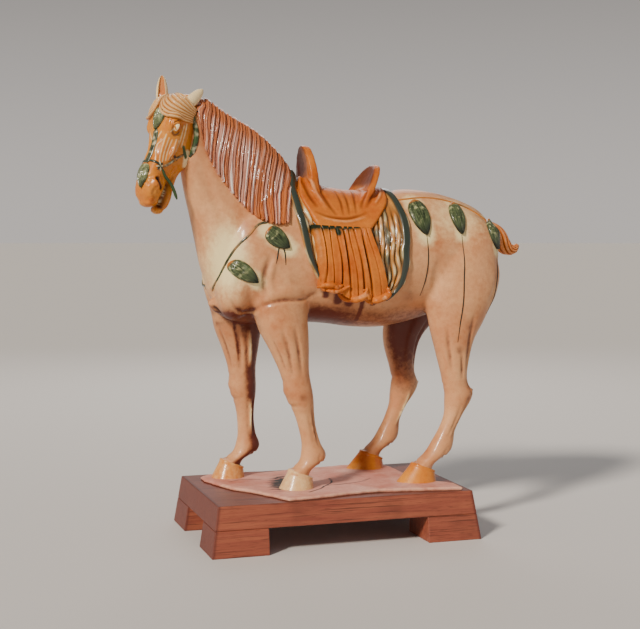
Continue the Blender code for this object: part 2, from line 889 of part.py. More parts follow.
def saddle(surface, collection):
    """Flaps and seat, the tall front arch and the low back arch."""

    def thickness(share, down):
        rise = FLAP_RISE * abs(2 * share - 1) ** 3 * (1 - down) ** 2
        return FLAP_THICKNESS + FLAP_BAND * (down > 0.8) + rise

    edges = (FLAP_FRONT, FLAP_BACK)
    flaps = wrapped("saddle_flaps", surface, edges, (NEAR, FAR), thickness, collection, 16, 24)
    front_arch = arch("front_arch", FRONT_ARCH, collection)
    back_arch = arch("back_arch", BACK_ARCH, collection)
    return [flaps, front_arch, back_arch]


def saddlecloth(surface, collection):
    """The cloth under the saddle, with rolled edges and knotted strands between."""

    def thickness(share, down):
        hem = CLOTH_HEM * (abs(2 * share - 1) > 0.9)
        strand = STRAND_HEIGHT * abs(math.cos(math.pi * CLOTH_STRANDS * share))
        return CLOTH_THICKNESS + max(hem, strand * (down > 0.3))

    edges = (CLOTH_FRONT, CLOTH_BACK)
    columns = 2 * CLOTH_STRANDS + 1
    return wrapped("saddlecloth", surface, edges, (NEAR, FAR), thickness, collection, 14, columns)


def pleated_cover(surface, side, collection):
    """The gathered cover that hangs from the saddle, in pleats and a swagged edge."""

    def thickness(share, down):
        fold = abs(math.cos(math.pi * COVER_PLEATS * share))
        swag = SWAG_HEIGHT * down**6 * abs(math.sin(math.pi * COVER_SWAGS * share))
        return CLOTH_THICKNESS + COVER_THICKNESS - PLEAT_DEPTH * fold * (1 - 0.5 * down**6) + swag

    columns = 4 * COVER_PLEATS + 1
    edges = (COVER_FRONT, COVER_BACK)
    return wrapped(f"cover_{side}", surface, edges, (side,), thickness, collection, 10, columns)


def trappings(surface, side, collection):
    """Leaves and straps on one side of the body."""

    def hit(spot):
        return side_hit(surface, spot[0], spot[1], side)

    pieces = [leaf(name, hit, spot, LEAF_HEIGHT, collection) for name, spot in LEAVES.items()]
    for route in (BREAST_STRAP, CRUPPER_STRAP):
        places = [hit(spot)[0] for spot in smooth_rows(route, 24)]
        pieces.append(strap("strap", places, STRAP_RADIUS, collection))
    return pieces


def bridle(surface, side, collection):
    """Straps, leaves, rosette and bit on one cheek. Left is positive."""

    def on_cheek(spot):
        return cheek_hit(surface, spot, side)

    cheek_places = [on_cheek(spot)[0] for spot in smooth_rows(CHEEK_STRAP, 20)]
    jaw_places = [on_cheek(spot)[0] for spot in smooth_rows(JAW_STRAP, 10)]
    nose_places = [on_cheek(spot)[0] for spot in smooth_rows(NOSE_STRAP, 4)]
    nose_places += [face_hit(surface, (NOSE_STRAP[-1][0], side * aside))[0] for aside in (12, 2)]
    bit_places = [head_at(down, out, side * aside) for down, out, aside in BIT]
    rosette_place = on_cheek(ROSETTE)[0]
    return [
        strap("cheek_strap", cheek_places, BROAD_STRAP_RADIUS, collection),
        strap("jaw_strap", jaw_places, BRIDLE_RADIUS, collection),
        strap("nose_strap", nose_places, BRIDLE_RADIUS, collection),
        strap("bit", bit_places, BROAD_STRAP_RADIUS, collection),
        ball("rosette", rosette_place, ROSETTE_SIZES, head_axes(), collection),
    ]


def head_details(surface, collection):
    """Ears, eyes and bridle."""
    _, _, left = head_axes()
    ahead = left.cross(UP)
    pieces = [ear("far_ear", FAR_EAR, ahead + left, collection)]
    pieces.append(ear("near_ear", NEAR_EAR, -left, collection))
    for side in (NEAR, FAR):
        pieces.append(on_head("eye", EYE, side, collection))
        pieces.append(on_head("eyelid", EYELID, side, collection))
        pieces += bridle(surface, side, collection)

    def on_face(spot):
        return face_hit(surface, spot)

    for name, spot in (("brow_leaf", BROW_LEAF), ("nose_leaf", NOSE_LEAF)):
        pieces.append(leaf(name, on_face, spot, BRIDLE_LEAF_HEIGHT, collection))
    places = [on_face(spot)[0] for spot in smooth_rows(FACE_STRAP, 12)]
    pieces.append(strap("face_strap", places, BROAD_STRAP_RADIUS, collection))
    return pieces


def forelock(surface, side, collection):
    """Hair that parts on the poll and sweeps back over one side of the brow."""
    grid, thickness = [], []
    for ridge in range(2 * FORELOCK_STRANDS + 1):
        spread = ridge / (2 * FORELOCK_STRANDS)
        route = (1 - spread) * np.array(FORELOCK_FRONT) + spread * np.array(FORELOCK_BACK)
        route[:, 2] *= side
        hits = [head_hit(surface, *spot) for spot in smooth_rows(route, 14)]
        grid.append(hits)
        thickness.append([FORELOCK_THICKNESS - LOCK_DEPTH * (ridge % 2)] * len(hits))
    return laid_on(f"forelock_{side}", grid, thickness, SUNK, collection)


def tail(collection):
    """A short fluted stump that curls up at its end."""
    rings = []
    rows = smooth_rows(TAIL, 20)
    slopes = np.gradient(rows, axis=0)
    across = Vector((0, 1, 0))
    for number, ((along, height, radius), slope) in enumerate(zip(rows, slopes)):
        upward = Vector((slope[0], 0, slope[1])).cross(across).normalized()
        points = []
        for turn in range(4 * TAIL_FLUTES):
            angle = 2 * math.pi * turn / (4 * TAIL_FLUTES)
            flute = 1 - (1 - FLUTE_SHARE) * abs(math.cos(TAIL_FLUTES * angle / 2))
            twisted = angle + number * TAIL_TWIST
            spoke = across * math.cos(twisted) + upward * math.sin(twisted)
            points.append(at(along, 0, height) + spoke * radius * flute * UNIT)
        rings.append(points)
    return loft("tail", rings, collection, dome=0.8)


def slab(collection):
    """The thin, uneven sheet of clay that the hooves were luted to."""
    rings = []
    for inset, level in ((0, -SLAB_THICKNESS), (0, -SLAB_RIM_DROP), (SLAB_RIM_WIDTH, 0)):
        points = []
        for along, aside in SLAB_OUTLINE:
            place = Vector((along * UNIT, aside * UNIT, 0))
            points.append(place * (1 - inset / place.length) + UP * (SOLE_LEVEL + level))
        rings.append(points)
    count = len(SLAB_OUTLINE)
    faces = [tuple(range(count)), tuple(range(2 * count, 3 * count))]
    for low in (0, count):
        for turn in range(count):
            after = (turn + 1) % count
            faces.append((low + turn, low + after, low + count + after, low + count + turn))
    return from_faces("slab", [point for points in rings for point in points], faces, collection)


def stand_edges(level):
    """Where the stand's outer faces are at a height: two along, two aside."""
    along = [place * UNIT for place, _ in SLAB_OUTLINE]
    aside = [place * UNIT for _, place in SLAB_OUTLINE]
    out_end = (STAND_HEIGHT - level) * BATTER_END
    out_side = (STAND_HEIGHT - level) * BATTER_SIDE
    ends = (min(along) - FRONT_MARGIN - out_end, max(along) + BACK_MARGIN + out_end)
    sides = (min(aside) - NEAR_MARGIN - out_side, max(aside) + FAR_MARGIN + out_side)
    return ends, sides


def wood_block(name, corners_low, corners_high, low, high, collection):
    """A block between two rectangles, its edges rounded by wear."""
    body = bmesh.new()
    bmesh.ops.create_cube(body, size=1)
    for vertex in body.verts:
        (x0, x1), (y0, y1) = corners_low if vertex.co.z < 0 else corners_high
        vertex.co.x = x1 if vertex.co.x > 0 else x0
        vertex.co.y = y1 if vertex.co.y > 0 else y0
        vertex.co.z = high if vertex.co.z > 0 else low
    mesh = bpy.data.meshes.new(name)
    body.to_mesh(mesh)
    body.free()
    obj = bpy.data.objects.new(name, mesh)
    collection.objects.link(obj)
    wear = obj.modifiers.new("wear", "BEVEL")
    wear.width = EDGE_ROUNDING
    wear.segments = 2
    return obj


def stand(collection):
    """A deck of plank on four corner blocks, all with sloping outer faces."""
    low = FOOT_HEIGHT + FIT_GAP
    edges = (stand_edges(low), stand_edges(STAND_HEIGHT))
    pieces = [wood_block("stand_deck", *edges, low, STAND_HEIGHT, collection)]
    ends, sides = stand_edges(0)
    for end, end_name in enumerate(("front", "back")):
        for side, side_name in enumerate(("left", "right")):
            inner_x = ends[end] + (FOOT_LENGTH if end == 0 else -FOOT_LENGTH)
            inner_y = sides[side] + (FOOT_WIDTH if side == 0 else -FOOT_WIDTH)
            corners = []
            for level in (0, FOOT_HEIGHT):
                outer = stand_edges(level)
                corners.append((sorted((inner_x, outer[0][end])), sorted((inner_y, outer[1][side]))))
            name = f"stand_foot_{end_name}_{side_name}"
            pieces.append(wood_block(name, *corners, 0, FOOT_HEIGHT, collection))
    return pieces


def surface_material(name, colour, roughness, coat):
    material = bpy.data.materials.new(name)
    material.use_nodes = True
    shader = material.node_tree.nodes["Principled BSDF"]
    shader.inputs["Base Color"].default_value = (*colour, 1)
    shader.inputs["Roughness"].default_value = roughness
    shader.inputs["Coat Weight"].default_value = coat
    material.diffuse_color = (*colour, 1)
    return material


def horse(collection, helpers):
    """The whole fired piece: skin, carving, trappings and slab in one body."""
    body, surface = skin(helpers)
    pieces = [body, tail(helpers), mane(surface, helpers), saddlecloth(surface, helpers), slab(helpers)]
    pieces += [hoof(name, line, helpers) for name, line in LEG_LINES.items()]
    pieces += saddle(surface, helpers) + head_details(surface, helpers)
    for side in (NEAR, FAR):
        pieces.append(pleated_cover(surface, side, helpers))
        pieces.append(forelock(surface, side, helpers))
        pieces += trappings(surface, side, helpers)
    obj = joined("horse", pieces, collection)
    run_together(obj, HORSE_VOXEL, 0)
    thin_out(obj, HORSE_TRIANGLES)
    obj.data.materials.append(surface_material("lead_glazed_clay", (0.62, 0.42, 0.26), 0.35, 0.6))
    return obj


def centre_on_floor(objects):
    """Puts the origin under the middle of the whole object, on the floor."""
    bpy.context.view_layer.update()
    graph = bpy.context.evaluated_depsgraph_get()
    corners = [Vector(corner) for obj in objects for corner in obj.evaluated_get(graph).bound_box]
    shift = []
    for axis in (0, 1):
        places = [corner[axis] for corner in corners]
        shift.append(-(min(places) + max(places)) / 2)
    for obj in objects:
        obj.data.transform(Matrix.Translation((*shift, 0)))


def main():
    for obj in list(bpy.data.objects):
        bpy.data.objects.remove(obj)
    collection = bpy.data.collections.new("sancai_horse")
    helpers = bpy.data.collections.new("cutters")
    for group in (collection, helpers):
        bpy.context.scene.collection.children.link(group)
    figure = horse(collection, helpers)
    blocks = stand(collection)
    wood = surface_material("stained_hardwood", (0.20, 0.07, 0.04), 0.5, 0.0)
    for block in blocks:
        block.data.materials.append(wood)
    centre_on_floor([figure, *blocks])
    bpy.data.collections.remove(helpers)


main()
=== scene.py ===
# %% [markdown]
# # A lead-glazed pottery horse on a plank stand
# This lesson dresses a plain model of an old glazed horse. The plain model gives the
# sizes and the places, and each step below makes one finished piece in its space.
# The horse was pressed in moulds, luted together and glazed by pouring and dabbing.

# %% Load the plain model as a fixed frame
import math

import bmesh
import bpy
import numpy as np
from mathutils import Matrix, Vector, noise
from mathutils.bvhtree import BVHTree


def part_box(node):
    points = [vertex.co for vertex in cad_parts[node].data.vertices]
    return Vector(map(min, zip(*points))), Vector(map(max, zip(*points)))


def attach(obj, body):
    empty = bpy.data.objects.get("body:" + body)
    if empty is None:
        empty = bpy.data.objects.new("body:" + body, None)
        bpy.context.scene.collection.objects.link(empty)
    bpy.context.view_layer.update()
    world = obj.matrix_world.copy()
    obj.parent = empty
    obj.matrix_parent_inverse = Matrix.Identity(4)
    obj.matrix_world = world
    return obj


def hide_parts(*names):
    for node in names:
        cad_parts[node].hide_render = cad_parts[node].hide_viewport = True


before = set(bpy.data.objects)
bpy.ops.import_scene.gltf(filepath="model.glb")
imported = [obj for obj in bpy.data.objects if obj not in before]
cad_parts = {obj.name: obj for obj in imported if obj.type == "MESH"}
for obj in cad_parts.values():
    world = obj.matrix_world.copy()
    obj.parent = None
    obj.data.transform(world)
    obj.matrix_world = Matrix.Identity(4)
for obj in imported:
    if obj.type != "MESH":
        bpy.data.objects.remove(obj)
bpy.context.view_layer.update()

# %% [markdown]
# ## Units and places
# A modeller of animals measures in parts of the animal's own height. All tables below
# are in thousandths of it: along from the stand's middle, aside from the horse's own
# middle plane, and height above the soles. The stand's deck says where that is.

# %% The horse's own measure
HORSE_HEIGHT = 0.690
UNIT = HORSE_HEIGHT / 1000
HORSE_ASIDE = 20
NEAR, FAR = SIDES = -1, 1
UP = Vector((0, 0, 1))
deck_low, deck_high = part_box("stand_deck")
STAND_MIDDLE = ((deck_low + deck_high) / 2).xy
SLAB_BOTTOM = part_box("horse")[0].z
SLAB_THICKNESS = 0.0057
SOLE_LEVEL = SLAB_BOTTOM + SLAB_THICKNESS
ORIGIN = np.array([STAND_MIDDLE.x, STAND_MIDDLE.y + HORSE_ASIDE * UNIT, SOLE_LEVEL])


def at(along, aside, height):
    """A point of the horse in metres, from its thousandths."""
    return Vector(ORIGIN) + Vector((along, aside, height)) * UNIT


print("soles stand at", round(1000 * SOLE_LEVEL, 1), "mm")

# %% [markdown]
# ## The camera
# The photograph was taken from the horse's left, a little ahead of it and slightly
# above its back, with a lens of moderate length. The same view is set up first, because
# every piece is judged in it.

# %% Camera at the photograph's angle
CAMERA_FROM_STAND = (-0.7006, -2.161, 0.5196)
CAMERA_RIGHT = 0.3113
CAMERA_DOWN = 0.0628
LENS = 73.94
camera_data = bpy.data.cameras.new("photograph")
camera_data.lens = LENS
camera_data.sensor_width = 36
camera_data.sensor_fit = "HORIZONTAL"
camera = bpy.data.objects.new("photograph", camera_data)
bpy.context.scene.collection.objects.link(camera)
camera.location = Vector((*STAND_MIDDLE, 0)) + Vector(CAMERA_FROM_STAND)
camera.rotation_euler = (math.pi / 2 - CAMERA_DOWN, 0, -CAMERA_RIGHT)
bpy.context.scene.camera = camera
print("camera at", [round(value, 3) for value in camera.location])

# %% [markdown]
# ## The studio
# A pale floor that carries on to the horizon, a soft key light from the upper left in
# front, a weak one from the right, one from behind, and pale surroundings. Glaze shows
# its gloss by what it reflects, so every light is large and soft, as in a studio.


# %% Colours, materials and nodes
def linear(colour):
    """An sRGB hex colour as linear red, green, blue and alpha."""
    parts = [int(colour[start:start + 2], 16) / 255 for start in (1, 3, 5)]
    parts = [part / 12.92 if part <= 0.04045 else ((part + 0.055) / 1.055) ** 2.4 for part in parts]
    return (*parts, 1)


def new_material(name):
    """A new material with its nodes and its shader."""
    material = bpy.data.materials.new(name)
    material.use_nodes = True
    return material, material.node_tree, material.node_tree.nodes["Principled BSDF"]


def set_inputs(node, values):
    """Sets inputs of a node to plain values."""
    for name, value in values.items():
        node.inputs[name].default_value = value


def add(tree, kind, inputs, **settings):
    """A node with its settings, and its inputs set or linked."""
    made = tree.nodes.new("ShaderNode" + kind)
    for name, value in settings.items():
        setattr(made, name, value)
    for key, value in inputs.items():
        if isinstance(value, bpy.types.NodeSocket):
            tree.links.new(value, made.inputs[key])
        else:
            made.inputs[key].default_value = value
    return made


# %% Floor and lights
def soft_light(name, place, aim, size, power, colour):
    """A square soft light of a size in metres and a power in watts."""
    lamp = bpy.data.lights.new(name, "AREA")
    lamp.shape = "SQUARE"
    lamp.size = size
    lamp.energy = power
    lamp.color = linear(colour)[:3]
    obj = bpy.data.objects.new(name, lamp)
    obj.location = place
    obj.rotation_euler = (Vector(aim) - Vector(place)).to_track_quat("-Z", "Y").to_euler()
    bpy.context.scene.collection.objects.link(obj)


FLOOR_RADIUS = 60
KEY_FROM = (-2.4, -1.9, 2.1)
KEY_STRENGTH = 3.9
KEY_ANGLE = math.radians(9)
bpy.ops.object.select_all(action="DESELECT")
bpy.ops.mesh.primitive_circle_add(vertices=96, radius=FLOOR_RADIUS, fill_type="NGON", location=(0, 0, 0))
floor = bpy.context.object
floor.name = "floor"
# Matt pale paper: it shows a soft shadow and no shine of its own.
paper, _, shader = new_material("pale_paper")
set_inputs(shader, {"Base Color": linear("#D5D3D1"), "Roughness": 0.9})
floor.data.materials.append(paper)
horse_middle = (STAND_MIDDLE.x, STAND_MIDDLE.y, 0.4)
sun = bpy.data.lights.new("key", "SUN")
sun.energy = KEY_STRENGTH
sun.angle = KEY_ANGLE
sun.color = linear("#FFF3E4")[:3]
sun_object = bpy.data.objects.new("key", sun)
sun_object.rotation_euler = Vector(KEY_FROM).to_track_quat("Z", "Y").to_euler()
bpy.context.scene.collection.objects.link(sun_object)
soft_light("fill", (2.4, -1.6, 1.2), horse_middle, 1.8, 4, "#E9EEFF")
soft_light("back", (0.6, 2.4, 2.0), horse_middle, 1.6, 20, "#FFFFFF")
print(len(bpy.data.lights), "lights set")

# %% Surroundings that meet the floor
# Brightness at the horizon and overhead, and the height from which it is even.
HORIZON = 0.58
OVERHEAD = 0.24
EVEN_ABOVE = 0.3
world = bpy.data.worlds.new("studio")
bpy.context.scene.world = world
world.use_nodes = True
tree = world.node_tree
way = add(tree, "TexCoord", {}).outputs["Generated"]
height = add(tree, "SeparateXYZ", {0: way}).outputs["Z"]
span = {"Value": height, "From Max": EVEN_ABOVE, "To Min": HORIZON, "To Max": OVERHEAD}
level = add(tree, "MapRange", span, interpolation_type="SMOOTHSTEP").outputs[0]
tree.links.new(level, tree.nodes["Background"].inputs["Strength"])
tree.nodes["Background"].inputs["Color"].default_value = linear("#FFF7F1")
print("stage ready")

# %% [markdown]
# ## Ways of building in clay
# A horse has no flat faces, so its forms are lofted: rings of points along a line, with
# skin between them. Rows of a table are joined by a smooth curve, and the mesh is closed
# with rounded ends. Sculpting by hand would do as well, but a table gives true
# proportions from few numbers, and each of them can be put right later.


# %% Curves, rings and lofts
# How far round each row of a rounded end lies, in degrees.
CAP_ANGLES = (20, 40, 55, 70, 82)


def smooth_rows(rows, count):
    """Evenly many rows on a smooth curve through the given ones."""
    given = np.array(rows, float)
    padded = np.vstack([2 * given[0] - given[1], given, 2 * given[-1] - given[-2]])
    place = np.linspace(0, len(given) - 1, count)
    start = np.minimum(place.astype(int), len(given) - 2)
    part = (place - start)[:, None]
    p0, p1, p2, p3 = (padded[start + shift] for shift in range(4))
    bend = 2 * p0 - 5 * p1 + 4 * p2 - p3
    twist = -p0 + 3 * p1 - 3 * p2 + p3
    return 0.5 * (2 * p1 + (p2 - p0) * part + bend * part**2 + twist * part**3)


def even_along(rows, count):
    """Rows on the smooth curve through the given ones, evenly spaced in their first value."""
    fine = smooth_rows(rows, 400)
    places = np.linspace(fine[0][0], fine[-1][0], count)
    return np.column_stack([places, np.interp(places, fine[:, 0], fine[:, 1])])


def clay(name, points, faces):
    """An object from a closed mesh, its faces turned outwards."""
    mesh = bpy.data.meshes.new(name)
    faces = [tuple(map(int, face)) for face in faces]
    mesh.from_pydata([tuple(point) for point in points], [], faces)
    body = bmesh.new()
    body.from_mesh(mesh)
    bmesh.ops.recalc_face_normals(body, faces=body.faces)
    if body.calc_volume(signed=True) < 0:
        bmesh.ops.reverse_faces(body, faces=body.faces)
    body.to_mesh(mesh)
    body.free()
    obj = bpy.data.objects.new(name, mesh)
    bpy.context.scene.collection.objects.link(obj)
    return obj


def ring(start, end, side, half_width, wider=0.0, squareness=0.0, count=48):
    """Points round an oval from start to end, its width along side."""
    start, end, side = (np.array(value) for value in (start, end, side))
    angle = 2 * np.pi * np.arange(count) / count
    ahead = np.copysign(np.abs(np.cos(angle)) ** (1 - squareness), np.cos(angle))[:, None]
    across = np.copysign(np.abs(np.sin(angle)) ** (1 - squareness), np.sin(angle))[:, None]
    width = half_width * (1 + wider * ahead)
    return (start + end) / 2 + (start - end) / 2 * ahead + side * width * across


def loft(name, rings, dome=0.5):
    """A closed tube through rings of equally many points, with rounded ends."""
    rings = [np.array(points) for points in rings]

    def cap(last, before):
        centre = last.mean(axis=0)
        out = centre - before.mean(axis=0)
        out *= np.linalg.norm(last - centre, axis=1).mean() * dome / np.linalg.norm(out)
        steps = np.radians(CAP_ANGLES)
        return [centre + (last - centre) * np.cos(step) + out * np.sin(step) for step in steps], centre + out

    first, first_tip = cap(rings[0], rings[1])
    last, last_tip = cap(rings[-1], rings[-2])
    rows = [*reversed(first), *rings, *last]
    count = len(rings[0])
    points = np.vstack([*rows, first_tip, last_tip])
    turn = np.arange(count)
    after = (turn + 1) % count
    faces = []
    for low in range(0, count * (len(rows) - 1), count):
        faces += list(np.column_stack([low + turn, low + after, low + count + after, low + count + turn]))
    end = count * (len(rows) - 1)
    tips = len(points) - 2
    faces += list(np.column_stack([turn, after, np.full(count, tips)]))
    faces += list(np.column_stack([end + turn, end + after, np.full(count, tips + 1)]))
    return clay(name, points, faces)


# %% Joining and fusing pieces
def only(obj):
    """Selects this object alone and makes it active."""
    bpy.ops.object.select_all(action="DESELECT")
    obj.select_set(True)
    bpy.context.view_layer.objects.active = obj


def joined(name, pieces):
    """One object from many, its bodies still separate."""
    only(pieces[0])
    for piece in pieces:
        piece.select_set(True)
    if len(pieces) > 1:
        bpy.ops.object.join()
    pieces[0].name = name
    return pieces[0]


def run_together(obj, voxel, smoothing):
    """Makes the object's bodies into one even surface of a voxel's size in metres."""
    only(obj)
    fuse = obj.modifiers.new("fuse", "REMESH")
    fuse.mode = "VOXEL"
    fuse.voxel_size = voxel
    soften = obj.modifiers.new("soften", "SMOOTH")
    soften.factor = 0.5
    soften.iterations = smoothing
    for modifier in ("fuse", "soften"):
        bpy.ops.object.modifier_apply(modifier=modifier)


def ball(name, middle, sizes, axes):
    """An oval lump whose half sizes run along three axes."""
    bpy.ops.object.select_all(action="DESELECT")
    bpy.ops.mesh.primitive_uv_sphere_add(segments=40, ring_count=24, radius=UNIT, location=(0, 0, 0))
    obj = bpy.context.object
    obj.name = name
    turn = Matrix(axes).transposed().to_4x4()
    obj.data.transform(Matrix.Translation(middle) @ turn @ Matrix.Diagonal((*sizes, 1)))
    return obj


# %% [markdown]
# ## The horse's own tables
# The forms were measured off the photograph once and then kept as plain numbers, so
# that each muscle can be moved by hand. The barrel is a tube with a wider belly, the
# neck leans to the near side, and the head turns a little towards the viewer.

# %% Tables of the body
# Torso: along, belly, back, half width, and how much wider it is below.
TORSO = [
    (-282, 465, 600, 54, 0.0), (-264, 424, 660, 88, 0.0), (-217, 403, 715, 120, 0.04),
    (-145, 398, 742, 127, 0.08), (-72, 400, 742, 130, 0.1), (0, 396, 728, 136, 0.1),
    (72, 386, 718, 142, 0.08), (145, 383, 722, 143, 0.06), (217, 394, 734, 138, 0.03),
    (290, 414, 728, 132, 0.0), (362, 440, 710, 122, 0.0), (420, 455, 684, 104, 0.0),
    (450, 490, 650, 72, 0.0),
]
# Neck: throat point, crest point, distance from the middle plane, half width.
NECK = [
    (-352, 850, -300, 936, -42, 36), (-364, 784, -250, 903, -38, 43),
    (-356, 730, -178, 864, -29, 53), (-338, 662, -116, 812, -16, 66),
    (-322, 597, -75, 760, -6, 80), (-306, 532, -30, 730, 0, 98), (-280, 467, 20, 700, 0, 112),
]
NECK_WIDER_BELOW = 0.28
NECK_RINGS = 30
# Legs: height above the soles, reach forward, reach back, half width.
FORELEG = [
    (600, 90, 80, 56), (500, 88, 82, 60), (426, 68, 67, 54), (385, 61, 62, 50),
    (340, 49, 50, 43), (290, 37, 38, 36), (262, 35, 35, 33), (235, 36, 34, 34),
    (210, 33, 31, 32), (185, 25, 26, 26), (150, 21, 23, 21), (110, 21, 26, 21),
    (88, 25, 35, 25), (72, 27, 37, 27), (56, 28, 27, 27), (42, 29, 27, 27), (26, 29, 28, 28),
]
HINDLEG = [
    (620, 80, 95, 50), (560, 105, 100, 66), (514, 108, 110, 68), (464, 95, 104, 66),
    (426, 78, 88, 58), (390, 65, 74, 50), (351, 52, 56, 44), (305, 41, 42, 38),
    (265, 33, 34, 33), (240, 32, 35, 31), (220, 35, 40, 31), (195, 32, 35, 29),
    (164, 24, 24, 24), (125, 22, 23, 21), (97, 26, 32, 24), (74, 28, 37, 27),
    (58, 28, 30, 27), (44, 29, 27, 27), (26, 29, 28, 28),
]
# The line that each leg follows: along, aside, height.
LEG_LINES = {
    "near_fore": [
        (-125, -52, 620), (-126, -76, 426), (-108, -88, 335), (-87, -98, 235),
        (-71, -101, 162), (-57, -102, 74), (-86, -102, 42), (-94, -102, 20),
    ],
    "far_fore": [
        (-203, 52, 620), (-197, 76, 410), (-187, 86, 320), (-179, 92, 235),
        (-173, 95, 150), (-174, 95, 71), (-208, 95, 42), (-218, 95, 20),
    ],
    "near_hind": [
        (360, -66, 640), (346, -74, 514), (330, -88, 417), (320, -96, 351),
        (323, -102, 249), (332, -104, 217), (319, -105, 164), (297, -106, 119),
        (272, -107, 72), (238, -106, 42), (228, -106, 20),
    ],
    "far_hind": [
        (360, 66, 640), (335, 74, 500), (280, 90, 405), (256, 98, 340),
        (261, 105, 264), (268, 108, 225), (257, 109, 180), (236, 110, 130),
        (211, 110, 75), (176, 110, 42), (168, 110, 20),
    ],
}
# Rounded muscles under the skin: middle, half sizes, tilt in degrees.
MUSCLES = [
    ((-232, -52, 500), (50, 62, 90), 8), ((-204, 44, 510), (44, 56, 84), 8),
    ((-120, -66, 530), (74, 62, 118), 14), ((-150, 66, 530), (74, 62, 118), 14),
    ((372, -62, 575), (84, 66, 100), -12), ((372, 62, 575), (84, 66, 100), -12),
    ((-268, -26, 450), (22, 26, 24), 0),
]
# The knob behind each fetlock: its height, how far back it sits, half sizes.
ERGOT_LEVEL = 66
ERGOT_BACK = 22
ERGOT_SIZES = (13, 16, 12)
BODY_VOXEL = 0.00295
BODY_SMOOTHING = 7


# %% Torso, neck and legs
def leg_line(name, height):
    """Where a leg's line passes at a height: along and aside."""
    path = smooth_rows(LEG_LINES[name], 160)
    order = np.argsort(path[:, 2])
    return [np.interp(height, path[order, 2], path[order, column]) for column in (0, 1)]


def leg(name):
    """A leg's tube: its profile carried along its line."""
    profile = FORELEG if name.endswith("fore") else HINDLEG
    rings = []
    for height, front, back, half in smooth_rows(profile, 90):
        along, aside = leg_line(name, height)
        start, end = at(along - front, aside, height), at(along + back, aside, height)
        rings.append(ring(start, end, (0, UNIT, 0), half))
    return loft(name, rings, dome=0.3)


def neck(first, last, inset):
    """The neck's tube between two of its rings, drawn in by an inset."""
    rings = []
    for throat_x, throat_z, crest_x, crest_z, aside, half in smooth_rows(NECK, NECK_RINGS)[first:last]:
        throat, crest = at(throat_x, aside, throat_z), at(crest_x, aside, crest_z)
        inward = (crest - throat).normalized() * inset * UNIT
        rings.append(ring(throat + inward, crest - inward, (0, UNIT, 0), half - inset, NECK_WIDER_BELOW))
    return loft("neck", rings)


torso_rings = []
for along, belly, back, half, wider in smooth_rows(TORSO, 60):
    torso_rings.append(ring(at(along, 0, belly), at(along, 0, back), (0, UNIT, 0), half, wider, count=72))
body_pieces = [loft("torso", torso_rings, dome=0.25), neck(0, NECK_RINGS, 0)]
body_pieces += [leg(name) for name in LEG_LINES]
for middle, sizes, tilt in MUSCLES:
    axes = Matrix.Rotation(math.radians(-tilt), 3, "Y")
    body_pieces.append(ball("muscle", at(*middle), sizes, axes))
for name in LEG_LINES:
    along, aside = leg_line(name, ERGOT_LEVEL)
    place = at(along + ERGOT_BACK, aside, ERGOT_LEVEL)
    body_pieces.append(ball("ergot", place, ERGOT_SIZES, Matrix.Identity(3)))
horse_body = joined("horse_body", body_pieces)
run_together(horse_body, BODY_VOXEL, BODY_SMOOTHING)
print("body", len(horse_body.data.polygons), "faces")

# %% [markdown]
# ## The head
# The head is the finest part, so it is built apart from the body with smaller voxels. A
# short piece of neck, a hair thinner than the body's, carries it, so that the two run
# into each other without a step.

# %% Tables of the head
# In the head's own frame: distance down the face, face line, jaw line, half width.
SKULL = [
    (-16, -34, -84, 30), (2, -5, -100, 42), (30, 5, -106, 47), (68, 4, -122, 46),
    (105, -3, -125, 40), (132, -5, -116, 34), (150, -4, -94, 31), (172, -1, -73, 29),
    (197, 2, -63, 29), (220, -1, -57, 31), (239, -8, -51, 30), (253, -19, -45, 23),
]
JAW = [
    (130, -58, -110, 24), (165, -67, -88, 21), (196, -64, -85, 20), (225, -63, -87, 21),
    (248, -60, -83, 20), (262, -56, -72, 15),
]
HEAD_PLACE = (-405, -59, 943)
HEAD_TURN = math.radians(27)
HEAD_TILT = math.radians(20)
HEAD_SQUARENESS = 0.3
SKULL_NARROWER_BELOW = 0.12
HEAD_MIDDLE = -60
HEAD_TOP = 28
HEAD_VOXEL = 0.0014
HEAD_SMOOTHING = 7
# On the head, as down the face, out of it and aside, then half sizes.
BROW_BONE = ((62, -18, 38), (26, 17, 15))
CHEEK_BONE = ((104, -40, 36), (34, 8, 8))
NOSTRIL_FLARE = ((213, -22, 27), (15, 13, 11))
UPPER_LIP = ((245, -37, 0), (14, 19, 26))
LOWER_LIP = ((258, -66, 0), (12, 12, 19))
GUMS = ((216, -60, 0), (34, 9, 18))
EYE = ((70, -22), (11, 8, 9))
# The rings of neck under the head, and how much thinner they are.
HEAD_NECK_RINGS = 9
HEAD_NECK_INSET = 8

# %% Skull, jaw and face
ahead_of_head = Vector((-math.cos(HEAD_TURN), -math.sin(HEAD_TURN), 0))
DOWN_FACE = ahead_of_head * math.sin(HEAD_TILT) - UP * math.cos(HEAD_TILT)
OUT_OF_FACE = ahead_of_head * math.cos(HEAD_TILT) + UP * math.sin(HEAD_TILT)
HEAD_LEFT = UP.cross(ahead_of_head)
HEAD_AXES = (DOWN_FACE, OUT_OF_FACE, HEAD_LEFT)


def head_at(down, out, left):
    """A point of the head in metres, from its own frame."""
    return at(*HEAD_PLACE) + (DOWN_FACE * down + OUT_OF_FACE * out + HEAD_LEFT * left) * UNIT


def head_tube(name, rows, narrower):
    """A tube down the head from rows of a table."""
    rings = []
    for down, face, jaw, half in smooth_rows(rows, 5 * len(rows)):
        jaw_line, face_line = head_at(down, jaw, 0), head_at(down, face, 0)
        rings.append(ring(jaw_line, face_line, HEAD_LEFT * UNIT, half, -narrower, HEAD_SQUARENESS))
    return loft(name, rings, dome=0.6)


